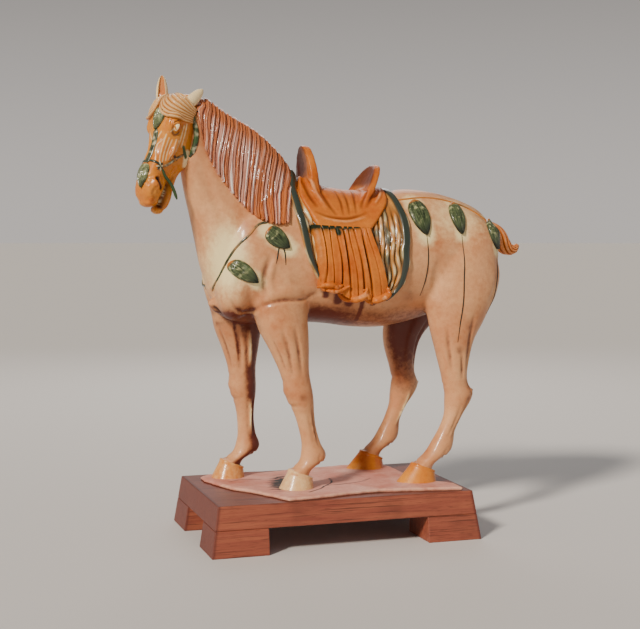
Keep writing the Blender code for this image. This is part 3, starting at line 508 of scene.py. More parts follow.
head_pieces = [head_tube("skull", SKULL, SKULL_NARROWER_BELOW), head_tube("jaw", JAW, 0)]
head_pieces.append(neck(0, HEAD_NECK_RINGS, HEAD_NECK_INSET))
for (down, out, left), sizes in (BROW_BONE, CHEEK_BONE, NOSTRIL_FLARE):
    for side in SIDES:
        head_pieces.append(ball("bone", head_at(down, out, side * left), sizes, HEAD_AXES))
for (down, out, left), sizes in (UPPER_LIP, LOWER_LIP, GUMS):
    head_pieces.append(ball("lip", head_at(down, out, left), sizes, HEAD_AXES))
horse_head = joined("horse_head", head_pieces)
run_together(horse_head, HEAD_VOXEL, HEAD_SMOOTHING)
print("head", len(horse_head.data.polygons), "faces")

# %% [markdown]
# ## The modelling tool's marks
# The potter pressed grooves between the tendons, folds at the elbow, and hollows round
# the eye and nostril into the damp clay. A bump pattern could draw them, but it leaves
# the outline smooth. Here a mark is a line on the skin, and all points near it move in
# or out by a soft profile.


# %% Aiming at the surface
# How far outside a leg, the head and a place on it the aim at the skin starts, and how
# far beside the middle plane the nearest skin is looked for where an aim goes past it.
OUTSIDE_LEG = 62
OUTSIDE_HEAD = 200
OUTSIDE_PLACE = 30
BESIDE_MIDDLE = 40
# A line of more places than this fades towards its ends.
LONG_LINE = 8


def surface_of(*objects):
    """A surface to aim at, made of the objects' faces."""
    corners, faces = [], []
    for obj in objects:
        start = len(corners)
        corners += [vertex.co.copy() for vertex in obj.data.vertices]
        faces += [tuple(start + index for index in face.vertices) for face in obj.data.polygons]
    return BVHTree.FromPolygons(corners, faces)


def first_hit(surface, start, direction):
    """The surface's point and normal met from start, or else the nearest one."""
    place, normal, _, _ = surface.ray_cast(Vector(start), Vector(direction))
    if place is None:
        place, normal, _, _ = surface.find_nearest(Vector(start))
    return place, normal


def side_hit(surface, along, height, side):
    """The point and normal seen from the near or far side."""
    middle = at(along, 0, height)
    aside = Vector((0, side, 0))
    place, normal, _, _ = surface.ray_cast(middle + aside * HORSE_HEIGHT, -aside, HORSE_HEIGHT)
    if place is None:
        place, normal, _, _ = surface.find_nearest(middle + aside * BESIDE_MIDDLE * UNIT)
    return place, normal


def leg_hit(surface, name, height, angle):
    """The point and normal round a leg: 0 is its outer side, 90 its front, -90 its back."""
    along, aside = leg_line(name, height)
    outer = NEAR if name.startswith("near") else FAR
    turn = math.radians(angle)
    out = Vector((-math.sin(turn), outer * math.cos(turn), 0))
    return first_hit(surface, at(along, aside, height) + out * OUTSIDE_LEG * UNIT, -out)


def cheek_hit(surface, down, out, side):
    """The point and normal on a cheek, from down and out, seen from its side."""
    return first_hit(surface, head_at(down, out, side * OUTSIDE_HEAD), -HEAD_LEFT * side)


def face_hit(surface, down, left):
    """The point and normal on the face, from down and aside."""
    return first_hit(surface, head_at(down, OUTSIDE_HEAD, left), -OUT_OF_FACE)


def head_hit(surface, down, out, left):
    """The point and normal where a spoke from the head's middle passes a place."""
    middle = head_at(max(down, HEAD_TOP), HEAD_MIDDLE, 0)
    aim = head_at(down, out, left)
    spoke = (aim - middle).normalized()
    return first_hit(surface, aim + spoke * OUTSIDE_PLACE * UNIT, -spoke)


def line_on(surface, hit, spots, count, side):
    """A smooth line of places on one side of a surface, through the given spots."""
    return [hit(surface, *spot, side)[0] for spot in smooth_rows(spots, count)]


# %% Reading, moving and painting points
def points_of(obj):
    """The places of an object's points."""
    found = np.empty(len(obj.data.vertices) * 3)
    obj.data.vertices.foreach_get("co", found)
    return found.reshape(-1, 3)


def normals_of(obj):
    """The normals at an object's points."""
    found = np.empty(len(obj.data.vertices) * 3, np.float32)
    obj.data.vertex_normals.foreach_get("vector", found)
    return found.reshape(-1, 3).astype(float)


def move_points(obj, points):
    obj.data.vertices.foreach_set("co", points.ravel())
    obj.data.update()


def nearness(points, line, width, fading=False):
    """How near each point is to a line of places: 1 on it, softly to 0 at the width."""
    line = np.array(line, float)
    reach = width * UNIT
    close = np.zeros(len(points))
    low, high = line.min(axis=0) - reach, line.max(axis=0) + reach
    inside = np.flatnonzero(((points > low) & (points < high)).all(axis=1))
    best = np.full(len(inside), np.inf)
    strength = np.ones(len(inside))
    some = points[inside]
    for number, (start, end) in enumerate(zip(line[:-1], line[1:])):
        step = end - start
        share = np.clip((some - start) @ step / max(step @ step, 1e-12), 0, 1)
        gap = np.linalg.norm(some - start - share[:, None] * step, axis=1)
        if fading:
            place = (number + share) / (len(line) - 1)
            strength = np.where(gap < best, np.sin(np.pi * place) ** 0.7, strength)
        best = np.minimum(best, gap)
    close[inside] = strength * np.clip(1 - (best / reach) ** 2, 0, 1) ** 2
    return close


def nearest(points, lines, width):
    """How near each point is to the nearest of several lines."""
    return np.max([nearness(points, line, width) for line in lines], axis=0)


def press(obj, marks):
    """Presses marks into the clay: a line of places, a width and a depth for each."""
    points = points_of(obj)
    shift = np.zeros(len(points))
    for line, width, depth in marks:
        shift -= depth * UNIT * nearness(points, line, width, fading=len(line) > LONG_LINE)
    move_points(obj, points + normals_of(obj) * shift[:, None])


def paint(obj, name, values):
    """Keeps a number for each point, or one for all, which the glaze reads."""
    layer = obj.data.attributes.get(name) or obj.data.attributes.new(name, "FLOAT", "POINT")
    values = np.clip(values, 0, 1) * np.ones(len(obj.data.vertices))
    layer.data.foreach_set("value", values.astype(np.float32))


# %% Marks on the legs
# The tables' depths are as read off. These bring them to the clay's.
LEG_MARK_DEPTH = 1.5
BODY_MARK_DEPTH = 1.3
# Leg marks: heights and angles round the leg from top to bottom, width, depth.
FORELEG_MARKS = [
    ([(395, 18), (330, 20), (268, 28)], 9, 3.0),
    ([(400, -20), (340, -18), (272, -14)], 9, 3.2),
    ([(380, 56), (320, 52), (270, 50)], 8, 2.4),
    ([(206, -38), (160, -46), (98, -44)], 6, 3.6),
    ([(196, -6), (150, -14), (96, -16)], 5, 1.6),
    ([(206, -142), (160, -134), (98, -136)], 6, 3.6),
    ([(400, 160), (340, 165), (270, 160)], 9, 3.4),
    ([(400, 110), (340, 115), (270, 120)], 9, 3.0),
    ([(262, 30), (262, 60), (262, 90), (262, 120), (262, 150)], 9, 0.8),
    ([(206, 10), (202, 50), (200, 90), (202, 130), (206, 170)], 9, 1.6),
    ([(238, 60), (236, 90), (238, 120)], 14, -1.6),
    ([(384, -158), (330, -156), (282, -156)], 6, -3.0),
    ([(204, -160), (160, -154), (108, -152)], 6, -3.0),
    ([(60, -150), (58, -90), (60, -30)], 8, 3.6),
]
HINDLEG_MARKS = [
    ([(420, -30), (340, -42), (262, -50)], 9, 3.6),
    ([(330, -12), (290, -18), (252, -20)], 8, 3.0),
    ([(400, 40), (330, 36), (262, 30)], 10, 2.6),
    ([(262, -52), (232, -58), (212, -50)], 6, 2.8),
    ([(212, -36), (160, -48), (98, -46)], 6, 3.8),
    ([(196, -4), (150, -10), (98, -12)], 6, 2.0),
    ([(212, -144), (160, -132), (98, -134)], 6, 3.8),
    ([(400, -140), (330, -130), (262, -126)], 9, 3.2),
    ([(246, 20), (240, 60), (238, 90), (240, 130), (246, 160)], 9, 1.0),
    ([(206, -160), (160, -154), (108, -152)], 6, -3.0),
    ([(228, -90), (220, -90)], 12, -3.0),
    ([(62, -150), (58, -90), (62, -30)], 8, 3.6),
]
# Under every fetlock.
PASTERN_MARKS = [
    ([(86, -40), (74, -28), (64, -40)], 6, 1.6),
    ([(52, 10), (50, 60), (50, 90), (50, 120), (52, 170)], 7, 1.8),
]
plain_skin = surface_of(horse_body)
body_marks = []
for name in LEG_LINES:
    leg_marks = FORELEG_MARKS if name.endswith("fore") else HINDLEG_MARKS
    for spots, width, depth in leg_marks + PASTERN_MARKS:
        line = [leg_hit(plain_skin, name, height, angle)[0] for height, angle in smooth_rows(spots, 16)]
        body_marks.append((line, width, depth * LEG_MARK_DEPTH))
print(len(body_marks), "marks on the legs")

# %% Marks on the breast, barrel and quarters
# Body marks: along and height on each side, width, depth.
BODY_MARKS = [
    ([(-163, 575), (-180, 520), (-176, 462)], 11, 4.6),
    ([(-148, 570), (-164, 520), (-160, 466)], 10, -2.4),
    ([(-190, 440), (-172, 452), (-130, 462), (-80, 462), (-44, 478)], 9, 4.4),
    ([(-170, 470), (-130, 482), (-80, 482)], 16, -2.0),
    ([(-40, 470), (-44, 520), (-62, 570)], 16, 3.4),
    ([(-262, 470), (-240, 436), (-206, 430), (-186, 442)], 9, 4.0),
    ([(-226, 560), (-236, 520), (-252, 480)], 14, 2.4),
    ([(292, 440), (268, 470), (262, 520), (276, 570)], 18, 3.4),
    ([(440, 560), (432, 500), (404, 440)], 14, 3.0),
    ([(-330, 800), (-300, 720), (-262, 640)], 18, 3.4),
    ([(-300, 830), (-262, 750), (-214, 680)], 22, 2.6),
]
# The knob at the bottom of the breast, the hollow under it, and each width and depth.
KNOB, KNOB_MARK = (-290, -26, 452), (15, -6.0)
UNDER_KNOB, UNDER_KNOB_MARK = [(-282, -40, 440), (-262, -46, 434), (-238, -50, 434)], (9, 4.0)
# The hollow between the cheek and the neck: down, out and aside on the head.
THROAT = [(56, -104, 40), (84, -118, 42), (112, -142, 40), (150, -172, 36)]
THROAT_WIDTH = 26
THROAT_DEPTH = 5.0
for spots, width, depth in BODY_MARKS:
    for side in SIDES:
        line = line_on(plain_skin, side_hit, spots, 20, side)
        body_marks.append((line, width, depth * BODY_MARK_DEPTH))
body_marks.append(([plain_skin.find_nearest(at(*KNOB))[0]] * 2, *KNOB_MARK))
body_marks.append(([plain_skin.find_nearest(at(*place))[0] for place in UNDER_KNOB], *UNDER_KNOB_MARK))
throats = [[head_at(down, out, side * left) for down, out, left in THROAT] for side in SIDES]
body_marks += [(line, THROAT_WIDTH, THROAT_DEPTH) for line in throats]
print(len(body_marks), "marks on legs and body")

# %% Dirt and painted shade in creases, painted highlights on ridges
# Creases deeper than the first depth below are painted darker, as dirt and shade, all of it
# from the second depth on, but little of it where they are wider than WIDE_MARK. Ridges
# narrower than FINE_RIDGE are painted pale as highlights, and their stain is taken off.
DIRT_AND_SHADE_FROM = 1.5
FULL_DIRT_AND_SHADE = 5
WIDE_MARK = 13
WIDE_MARK_DIRT_AND_SHADE = 0.25
FINE_RIDGE = 6.5
PAINT_SPREADS = 1.1
unpressed = points_of(horse_body)
shaded_creases, lit_ridges = np.zeros(len(unpressed)), np.zeros(len(unpressed))
for line, width, depth in body_marks:
    close = nearness(unpressed, line, width * PAINT_SPREADS, fading=len(line) > LONG_LINE)
    if depth > DIRT_AND_SHADE_FROM:
        dirt_and_shade = min(depth / FULL_DIRT_AND_SHADE, 1) * (WIDE_MARK_DIRT_AND_SHADE if width > WIDE_MARK else 1)
        shaded_creases = np.maximum(shaded_creases, close * dirt_and_shade)
    elif width < FINE_RIDGE:
        lit_ridges = np.maximum(lit_ridges, close)
press(horse_body, body_marks)
print("pressed", len(body_marks), "marks")

# %% Marks on the face
# Cheek marks: down and out on each side, width, depth.
CHEEK_MARKS = [
    ([(54, -16), (62, -34), (76, -38), (90, -26)], 7, 3.0),
    ([(50, -14), (56, -5), (72, -6), (88, -18)], 6, 2.4),
    ([(92, -20), (120, -26), (150, -24)], 12, 2.4),
    ([(96, -50), (124, -50), (150, -42)], 9, 2.0),
    ([(104, -6), (130, -6), (160, -8)], 5, -2.4),
    ([(118, -34), (136, -35), (154, -35)], 5, -2.4),
    ([(52, -48), (64, -52), (80, -54)], 3.5, -1.4),
    ([(30, -66), (60, -74), (96, -76), (128, -66)], 12, 1.6),
    ([(90, -60), (110, -74), (124, -96)], 4, -1.4),
    ([(150, -66), (166, -62), (186, -62)], 7, 2.6),
    ([(186, -60), (206, -60), (228, -54), (250, -48)], 6, 2.8),
    ([(196, -12), (206, 0), (222, -6)], 7, 2.2),
    ([(198, -34), (208, -46), (226, -46)], 7, 2.6),
    ([(232, -14), (240, -30), (238, -44)], 8, 2.4),
    ([(246, -8), (254, -20), (254, -36)], 7, 1.6),
]
NOSTRIL_LINE = [(200, -22), (206, -28), (213, -35)]
# The nostril's raised rim and its hole as width and depth, and how wide its painted shade is.
NOSTRIL_RIM, NOSTRIL_HOLE = (18, -4.5), (9, 12.0)
NOSTRIL_SHADE_WIDTH = 10
head_skin = surface_of(horse_head)
head_marks = []
for spots, width, depth in CHEEK_MARKS:
    for side in SIDES:
        head_marks.append((line_on(head_skin, cheek_hit, spots, 14, side), width, depth))
nostril_lines = [line_on(head_skin, cheek_hit, NOSTRIL_LINE, 8, side) for side in SIDES]
nostril_shade = nearest(points_of(horse_head), nostril_lines, NOSTRIL_SHADE_WIDTH)
head_marks += [(line, *mark) for line in nostril_lines for mark in (NOSTRIL_RIM, NOSTRIL_HOLE)]
press(horse_head, head_marks)
print("pressed", len(head_marks), "marks on the face")

# %% [markdown]
# ## Glazes
# Lead glaze is a glassy, slightly yellow coat that is coloured with iron for amber and
# copper for green. It was dabbed on and ran in the kiln, so its colours have ragged
# edges and it pools darker in the hollows. It is crazed all over with fine cracks. A
# material for each colour would meet its neighbour in a hard line, so each glaze here
# is one recipe: two tones of its own, and amber, green, pale and stained parts where
# the piece was painted so, mixed through the same mottle. Some pale parts are painted
# light and highlights, and some stained and hollow parts are painted shade.

# %% The glaze recipe
# Real sizes in millimetres: crazing, broad tones, mottling and pinholes. The crazing
# is drawn a little coarser than it is, so that it shows.
CRAZING_MM = 2.6
TONE_MM = 55
MOTTLE_MM = 9
SPECK_MM = 1.3
CRACK_WIDTH = 0.07
BUMP_METRES = 0.0006
GLAZE_IOR = 1.5
COAT_ROUGHNESS = 0.12


def glaze(name, tones, amber="#C2701E", green="#33502A", pale="#E8D9B4", stain_and_shade="#4A281B",
          grooves="#6B3414", rough=0.3, shine=0.3, crazing=0.35, gloss=0.55, streak=None, mottle=0.5):
    """A crazed lead glaze over clay, thinner on ridges and pooled in hollows."""
    material, tree, shader = new_material(name)
    place = add(tree, "TexCoord", {}).outputs["Object"]
    kinds = ((TONE_MM, 3.0, 0.5), (MOTTLE_MM, 6.0, 0.65), (SPECK_MM, 2.0, 0.5))
    broad, dapple, speck = [
        add(tree, "TexNoise", {"Vector": place, "Scale": 1000 / size, "Detail": detail,
                               "Roughness": uneven}).outputs["Fac"] for size, detail, uneven in kinds]
    if streak:
        flow = add(tree, "CombineXYZ", {})
        for axis, (channel, count) in enumerate(zip(("across", "down"), streak)):
            run = add(tree, "Attribute", {}, attribute_name=channel).outputs["Fac"]
            run = add(tree, "Math", {0: run, 1: count}, operation="MULTIPLY").outputs[0]
            tree.links.new(run, flow.inputs[axis])
        dapple = add(tree, "TexNoise", {"Vector": flow.outputs[0], "Scale": 1.0, "Detail": 4.0,
                                        "Roughness": 0.6}).outputs["Fac"]
    blend = add(tree, "Math", {0: dapple, 1: mottle, 2: broad}, operation="MULTIPLY_ADD").outputs[0]
    share = add(tree, "MapRange", {"Value": blend, "From Min": 0.35 + mottle * 0.35,
                                   "From Max": 0.65 + mottle * 0.65}).outputs[0]
    washes = [(share, tones[1])]
    # Each painted colour gets a ragged edge from the mottle.
    layers = (("pale", pale, 0.5), ("bare", "#D2A47E", 0.2), ("amber", amber, 0.7),
              ("green", green, 0.8), ("stain_and_shade", stain_and_shade, 0.8))
    for channel, hue, ragged in layers:
        amount = add(tree, "Attribute", {}, attribute_name=channel).outputs["Fac"]
        edge = add(tree, "Math", {0: dapple, 1: ragged, 2: amount}, operation="MULTIPLY_ADD").outputs[0]
        share = add(tree, "MapRange", {"Value": edge, "From Min": 0.12 + 0.5 * ragged,
                                       "From Max": 0.8 + 0.5 * ragged},
                    interpolation_type="SMOOTHSTEP").outputs[0]
        washes.append((share, hue))
    # Hollows: pooled glaze, and painted shade where a piece was painted so.
    washes.append((add(tree, "Attribute", {}, attribute_name="hollow").outputs["Fac"], grooves))
    # Crazing: the edges of wavering cells, strongest in some patches.
    waver = add(tree, "TexNoise", {"Vector": place, "Scale": 160.0}).outputs["Color"]
    wobble = add(tree, "MixRGB", {"Fac": 0.1, "Color1": place, "Color2": waver}).outputs[0]
    cells = add(tree, "TexVoronoi", {"Vector": wobble, "Scale": 1000 / CRAZING_MM / 0.9},
                feature="DISTANCE_TO_EDGE").outputs["Distance"]
    line = add(tree, "MapRange", {"Value": cells, "From Max": CRACK_WIDTH, "To Min": crazing,
                                  "To Max": 0.0}).outputs[0]
    patches = add(tree, "MapRange", {"Value": broad, "From Min": 0.4, "From Max": 0.65}).outputs[0]
    line = add(tree, "Math", {0: line, 1: patches}, operation="MULTIPLY").outputs[0]
    washes.append((line, stain_and_shade))
    colour = linear(tones[0])
    for share, hue in washes:
        colour = add(tree, "Mix", {0: share, 6: colour, 7: linear(hue)}, data_type="RGBA").outputs[2]
    grain = add(tree, "Math", {0: speck, 1: 0.35, 2: dapple}, operation="MULTIPLY_ADD").outputs[0]
    raised = add(tree, "Math", {0: line, 1: -0.6, 2: grain}, operation="MULTIPLY_ADD").outputs[0]
    bump = add(tree, "Bump", {"Height": raised, "Strength": 0.22, "Distance": BUMP_METRES}).outputs[0]
    sheen = add(tree, "MapRange", {"Value": dapple, "From Min": 0.3, "From Max": 0.7,
                                   "To Min": rough - 0.06, "To Max": rough + 0.12}).outputs[0]
    for socket, value in (("Base Color", colour), ("Roughness", sheen), ("Normal", bump)):
        tree.links.new(value, shader.inputs[socket])
    set_inputs(shader, {"IOR": GLAZE_IOR, "Specular IOR Level": shine, "Coat Weight": gloss,
                        "Coat Roughness": COAT_ROUGHNESS})
    return material


# Straw-coloured glaze over white slip: warm, pinkish, with a soft shine. Its pale also
# paints light and highlights on the body, and its stain and groove colours painted shade.
straw_glaze = glaze("straw_lead_glaze", ("#C07A4C", "#E8AE7A"), pale="#FAE4A8", stain_and_shade="#642C1E",
                    grooves="#30120E", rough=0.4, gloss=0.18)
# Iron amber, thin and bright on ridges, treacle-dark where it pooled. Its pale also
# paints highlights on the cover and saddle, and its groove and stain colours painted
# shade on them.
amber_glaze = glaze("amber_lead_glaze", ("#B5561A", "#D98030"), pale="#EDB07C", green="#1E2C1C",
                    grooves="#4A170B", rough=0.36, shine=0.15, gloss=0.1)
# The face was brushed with a thinner, yellower amber. Its pale also paints the eyes'
# glint and the sheen of the cheek's runs, and its groove colour painted shade.
honey_glaze = glaze("honey_lead_glaze", ("#C2651E", "#E59A34"), amber="#B8581E", pale="#F8E0AC",
                    grooves="#3A100C", rough=0.3, shine=0.25, gloss=0.22)
# Copper green, streaked along each leaf from moss to nearly black.
leaf_glaze = glaze("copper_green_lead_glaze", ("#182318", "#62734A"), green="#141D16", pale="#BEC08C",
                   grooves="#0A120E", rough=0.3, gloss=0.35, streak=(12.0, 3.0), mottle=2.6)
# The same copper green on straps, where no mould gave it lines.
strap_glaze = glaze("copper_green_strap_glaze", ("#18201A", "#566248"), amber="#C27A30", pale="#CFC9A6",
                    grooves="#0A120E", rough=0.3, gloss=0.35, mottle=1.8)
# Combed hair: white slip on the ridges and brown glaze in the grooves. The white also
# stands for the ridges' highlights.
hair_glaze = glaze("combed_hair_glaze", ("#B06A54", "#DDA68F"), amber="#BE6A34", pale="#FBF0E8",
                   grooves="#6A2619", rough=0.3, gloss=0.35, streak=(60.0, 3.0), mottle=1.2)
# The forelock is the same hair under the face's golden glaze.
golden_hair_glaze = glaze("golden_hair_glaze", ("#D08C42", "#EBBE78"), amber="#C9782C", pale="#F8DFAC",
                          grooves="#96501F", rough=0.3, shine=0.25, gloss=0.25, streak=(30.0, 3.0),
                          mottle=1.0)
# The saddlecloth's strands ran together in cream, amber and green.
strand_glaze = glaze("mingled_lead_glaze", ("#D2A860", "#B9762E"), green="#303B33", pale="#EDDCA8",
                     grooves="#121A14", rough=0.26, gloss=0.55, streak=(34.0, 2.6), mottle=1.6)
print("glazes mixed")


# %% Finishing a glazed piece
def fired(obj, material, angle=60):
    """Gives a finished piece its surface and its place in the frame."""
    obj.data.materials.clear()
    obj.data.materials.append(material)
    only(obj)
    bpy.ops.object.shade_smooth_by_angle(angle=math.radians(angle))
    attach(obj, "root")
    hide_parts("horse")


# %% [markdown]
# ## Colour on body and head
# The body is painted paler and yellower at the breast and croup as painted light, and
# brown under the belly and where the legs meet as dirt and painted shade. A few dark spots
# are where the glaze crawled off the knees and hocks, and more under the belly are
# painted shade. A painted image would need the skin unwrapped, so each colour is a number
# kept at each point, which the glaze reads.

# %% Places of the leaves and of their runs
# Leaves: root and tip as along and height, half width.
LEAVES = {
    "shoulder": ((-171, 630), (-119, 586), 22), "breast": ((-258, 551), (-194, 505), 20),
    "loin": ((217, 701), (235, 616), 25), "croup": ((326, 695), (333, 618), 20),
    "tail_root": ((427, 656), (439, 580), 18),
}
# Glaze runs: along and height from top to bottom.
GLAZE_RUNS = [
    [(235, 620), (237, 560), (233, 510), (224, 466)],
    [(333, 620), (334, 560), (331, 500), (327, 440), (321, 392), (316, 350)],
    [(439, 584), (440, 530), (432, 480), (416, 440), (404, 418)],
    [(-142, 598), (-147, 574), (-152, 550)],
    [(-136, 594), (-130, 574), (-128, 546)],
]

# %% Soft steps and spots of colour
def ramp(values, start, end, most=1):
    """From 0 at start evenly to 1 at end, but no more than most. It may run downwards."""
    return np.clip((values - start) / (end - start), 0, most)


def bell(values, middle, width, power=2):
    """1 at the middle and softly less to each side. A higher power makes it flatter."""
    return np.exp(-((values - middle) / width) ** power)


# %% Dirt, painted shade and runs on the body
# Dark spots, from crawled glaze on the legs and painted shade under the belly and
# breast: along, aside and height, then width.
DARK_SPOTS = [((-86, -130, 224), 14), ((346, -130, 392), 22), ((322, -140, 330), 14), ((352, -130, 205), 12),
          ((-246, -60, 436), 18), ((-150, -110, 452), 14), ((-60, -120, 470), 22), ((196, -130, 460), 26),
          ((60, -150, 440), 34), ((120, -150, 430), 30), ((-20, -150, 450), 26)]
# Brown runs under the cover: along, top and bottom height, width.
BROWN_RUNS = [(-24, 484, 470, 14), (8, 472, 456, 20), (36, 466, 450, 22), (70, 466, 404, 11),
              (98, 464, 450, 15)]
# Heights where the belly's dirt and painted shade start and are full, and where they end
# above the legs.
BELLY_TOP, BELLY_FULL = 474, 424
BELLY_END, BELLY_DIM = 370, 395
# Heights where painted shade inside the legs starts and is full. The forelegs, which end
# at this place along, have it at the back, and on the hind legs it fades downwards.
INNER_TOP, INNER_FULL = 475, 435
FORELEGS_END = 80
HINDLEG_SHADE_LEAST, HINDLEG_SHADE_FULL = 130, 330
# Heights below which all legs are a little darker: where it starts and where it is full.
LEGS_FROM, LEGS_FULL = 440, 380
body_points = points_of(horse_body)
body_normals = normals_of(horse_body)
body_skin = surface_of(horse_body)
spot = (body_points - ORIGIN) / UNIT
along, aside, height = spot.T
# Painted shade, with dirt, under the belly, and painted shade on the inner faces of the legs.
below = np.clip(-body_normals[:, 2] * 1.4, 0, 1)
towards_breast = np.clip(0.85 - along / 260, 0.5, 1)
under_belly = below * towards_breast * ramp(height, BELLY_TOP, BELLY_FULL)
under_belly *= ramp(height, BELLY_END, BELLY_DIM)
inner = np.clip(-1.3 * body_normals[:, 1] * np.sign(aside), 0, 1) * ramp(height, INNER_TOP, INNER_FULL)
rear_half = np.clip(0.5 + 1.6 * body_normals[:, 0], 0, 1)
fading_down = np.maximum(ramp(height, HINDLEG_SHADE_LEAST, HINDLEG_SHADE_FULL), 0.2)
inner *= np.where(along < FORELEGS_END, rear_half, fading_down)
lower_legs = 0.14 * ramp(height, LEGS_FROM, LEGS_FULL)
stain_and_shade = np.maximum(under_belly + 0.85 * inner, lower_legs)
for place, width in DARK_SPOTS:
    gap = np.linalg.norm(spot - place, axis=1)
    stain_and_shade = np.maximum(stain_and_shade, 0.5 * bell(gap, 0, width))
for run_along, top, bottom, width in BROWN_RUNS:
    ends = [(run_along, top), (run_along, bottom)]
    lines = [line_on(body_skin, side_hit, ends, 12, side) for side in SIDES]
    stain_and_shade = np.maximum(stain_and_shade, 0.95 * nearest(body_points, lines, width))
paint(horse_body, "stain_and_shade", np.maximum(stain_and_shade, 0.6 * shaded_creases) * (1 - lit_ridges))
print("dirt on", round(100 * float((stain_and_shade > 0.3).mean())), "percent of the body")

# %% Paint the body
# Where the breast and croup are painted pale as the light on them, as along and height:
# middle and half sizes.
BREAST_LIGHT = ((-262, 560), (46, 90))
CROUP_LIGHT = ((330, 660), (110, 70))
# How much wider than a leaf its pale ground is, and than the throat its painted shade.
LEAF_PALE_WIDER = 1.9
THROAT_SHADE_WIDER = 1.3
breast, croup = [bell(along, middle[0], sizes[0]) * bell(height, middle[1], sizes[1])
                 for middle, sizes in (BREAST_LIGHT, CROUP_LIGHT)]
# Pale: painted light on the breast and croup, painted highlights on the ridges, and the leaves' pale ground.
pale = np.maximum(0.95 * breast + 0.5 * croup, 0.8 * lit_ridges)
for root, tip, half in LEAVES.values():
    lines = [line_on(body_skin, side_hit, (root, tip), 8, side) for side in SIDES]
    pale = np.maximum(pale, 0.8 * nearest(body_points, lines, half * LEAF_PALE_WIDER))
paint(horse_body, "pale", pale)
# Painted shade in the throat behind the cheek, and under the breast's knob.
throat_shade = 0.95 * nearest(body_points, throats, THROAT_WIDTH * THROAT_SHADE_WIDER)
under_knob_shade = [body_skin.find_nearest(at(*place))[0] for place in UNDER_KNOB]
paint(horse_body, "hollow", np.maximum(throat_shade, 0.9 * nearness(body_points, under_knob_shade, 12)))
fired(horse_body, straw_glaze)
print("painted", len(body_points), "points of the body")

# %% Places of colour on the head
# On the cheeks, down and out: glaze marks of green, cream and brown, with their widths.
GREEN_MARK = ([(104, -62), (122, -80)], 7)
CREAM_MARK = ([(114, -80), (136, -90)], 17)
BROWN_MARK = ([(132, -50), (137, -57)], 6)
# Cream runs of glaze down the face, painted pale also as the highlights along them.
CREAM_RUNS_AND_SHEEN = [
    [(88, -2), (164, -8)], [(92, -10), (158, -15)], [(98, -18), (156, -22)], [(100, -26), (150, -29)],
    [(96, -35), (146, -36)], [(52, -48), (106, -56)], [(58, -42), (120, -48)], [(96, -42), (140, -43)],
]
CREAM_RUN_AND_SHEEN_WIDTH = 3.4
# Painted shade in the groove round each eye, and its width.
EYE_RIM = [(56, -20), (62, -32), (74, -35), (86, -30), (88, -22), (78, -12), (64, -10), (56, -20)]
EYE_RIM_WIDTH = 4.5
# The mouth's line of painted shade: out of the face, half height, and where it runs down
# the head.
MOUTH_LINE, MOUTH_HALF = -60, 7
MOUTH_FROM, MOUTH_TO = 186, 262
# The teeth in it: their line, half height, from and to down the head, and spacing.
TEETH_LINE, TEETH_HALF = -59, 4
TEETH_FROM, TEETH_TO = 202, 250
TOOTH = 9
# Behind the jaw the clay is bare, down to this far along the head.
BARE_TO = 130

# %% Paint the head
head_points = points_of(horse_head)
head_origin = at(*HEAD_PLACE)
head_spot = np.array([[(Vector(point) - head_origin).dot(axis) / UNIT for axis in HEAD_AXES]
                      for point in head_points])
head_down, head_out, head_left = head_spot.T
head_skin = surface_of(horse_head)


def cheek_paint(spots, width):
    """How near each point of the head is to a line on either cheek."""
    lines = [line_on(head_skin, cheek_hit, spots, 16, side) for side in SIDES]
    return nearest(head_points, lines, width)


in_mouth = ramp(head_down, MOUTH_FROM, MOUTH_FROM + 14) * ramp(head_down, MOUTH_TO, MOUTH_TO - 6)
mouth_shade = bell(head_out, MOUTH_LINE, MOUTH_HALF) * in_mouth
teeth = bell(head_out, TEETH_LINE, TEETH_HALF) * (head_down > TEETH_FROM) * (head_down < TEETH_TO)
teeth *= 0.8 * np.abs(np.sin(np.pi * head_down / TOOTH + 1.3 * np.sin(0.2 * head_down)))
# Painted shade in the nostrils, in the mouth between the teeth, and round the eyes.
hollow = np.maximum(np.clip(1.8 * nostril_shade, 0, 1), 0.95 * mouth_shade * (1 - 0.8 * teeth))
paint(horse_head, "hollow", np.maximum(hollow, 0.75 * cheek_paint(EYE_RIM, EYE_RIM_WIDTH)))
pale = np.maximum(teeth, cheek_paint(*CREAM_MARK))
for spots in CREAM_RUNS_AND_SHEEN:
    pale = np.maximum(pale, 0.6 * cheek_paint(spots, CREAM_RUN_AND_SHEEN_WIDTH))
paint(horse_head, "pale", pale)
paint(horse_head, "green", cheek_paint(*GREEN_MARK))
paint(horse_head, "stain_and_shade", cheek_paint(*BROWN_MARK))
paint(horse_head, "amber", 0.36 * ramp(np.abs(head_left), 24, 40) * ramp(head_down, 70, 110))
jaw_rows = np.array(SKULL)
jaw_edge = np.interp(head_down, jaw_rows[:, 0], jaw_rows[:, 2])
paint(horse_head, "bare", ramp(jaw_edge - 2 - head_out, 0, 5) * (head_down < BARE_TO))
fired(horse_head, honey_glaze)
print("painted", len(head_points), "points of the head")

# %% [markdown]
# ## Clay laid on the skin
# Hair, cloth and leaves are sheets and rolls of clay pressed on to the body. Loose
# cloth would be draped by a simulation, but fired clay keeps the folds that were carved
# in it. So each is a grid of places on the skin, lifted by a thickness that carries its
# relief, and closed underneath.

# %% Plates and rolls
# How deep a plate's underside lies in the clay, and how often normals are evened out.
SUNK = 8
EVENED = 4


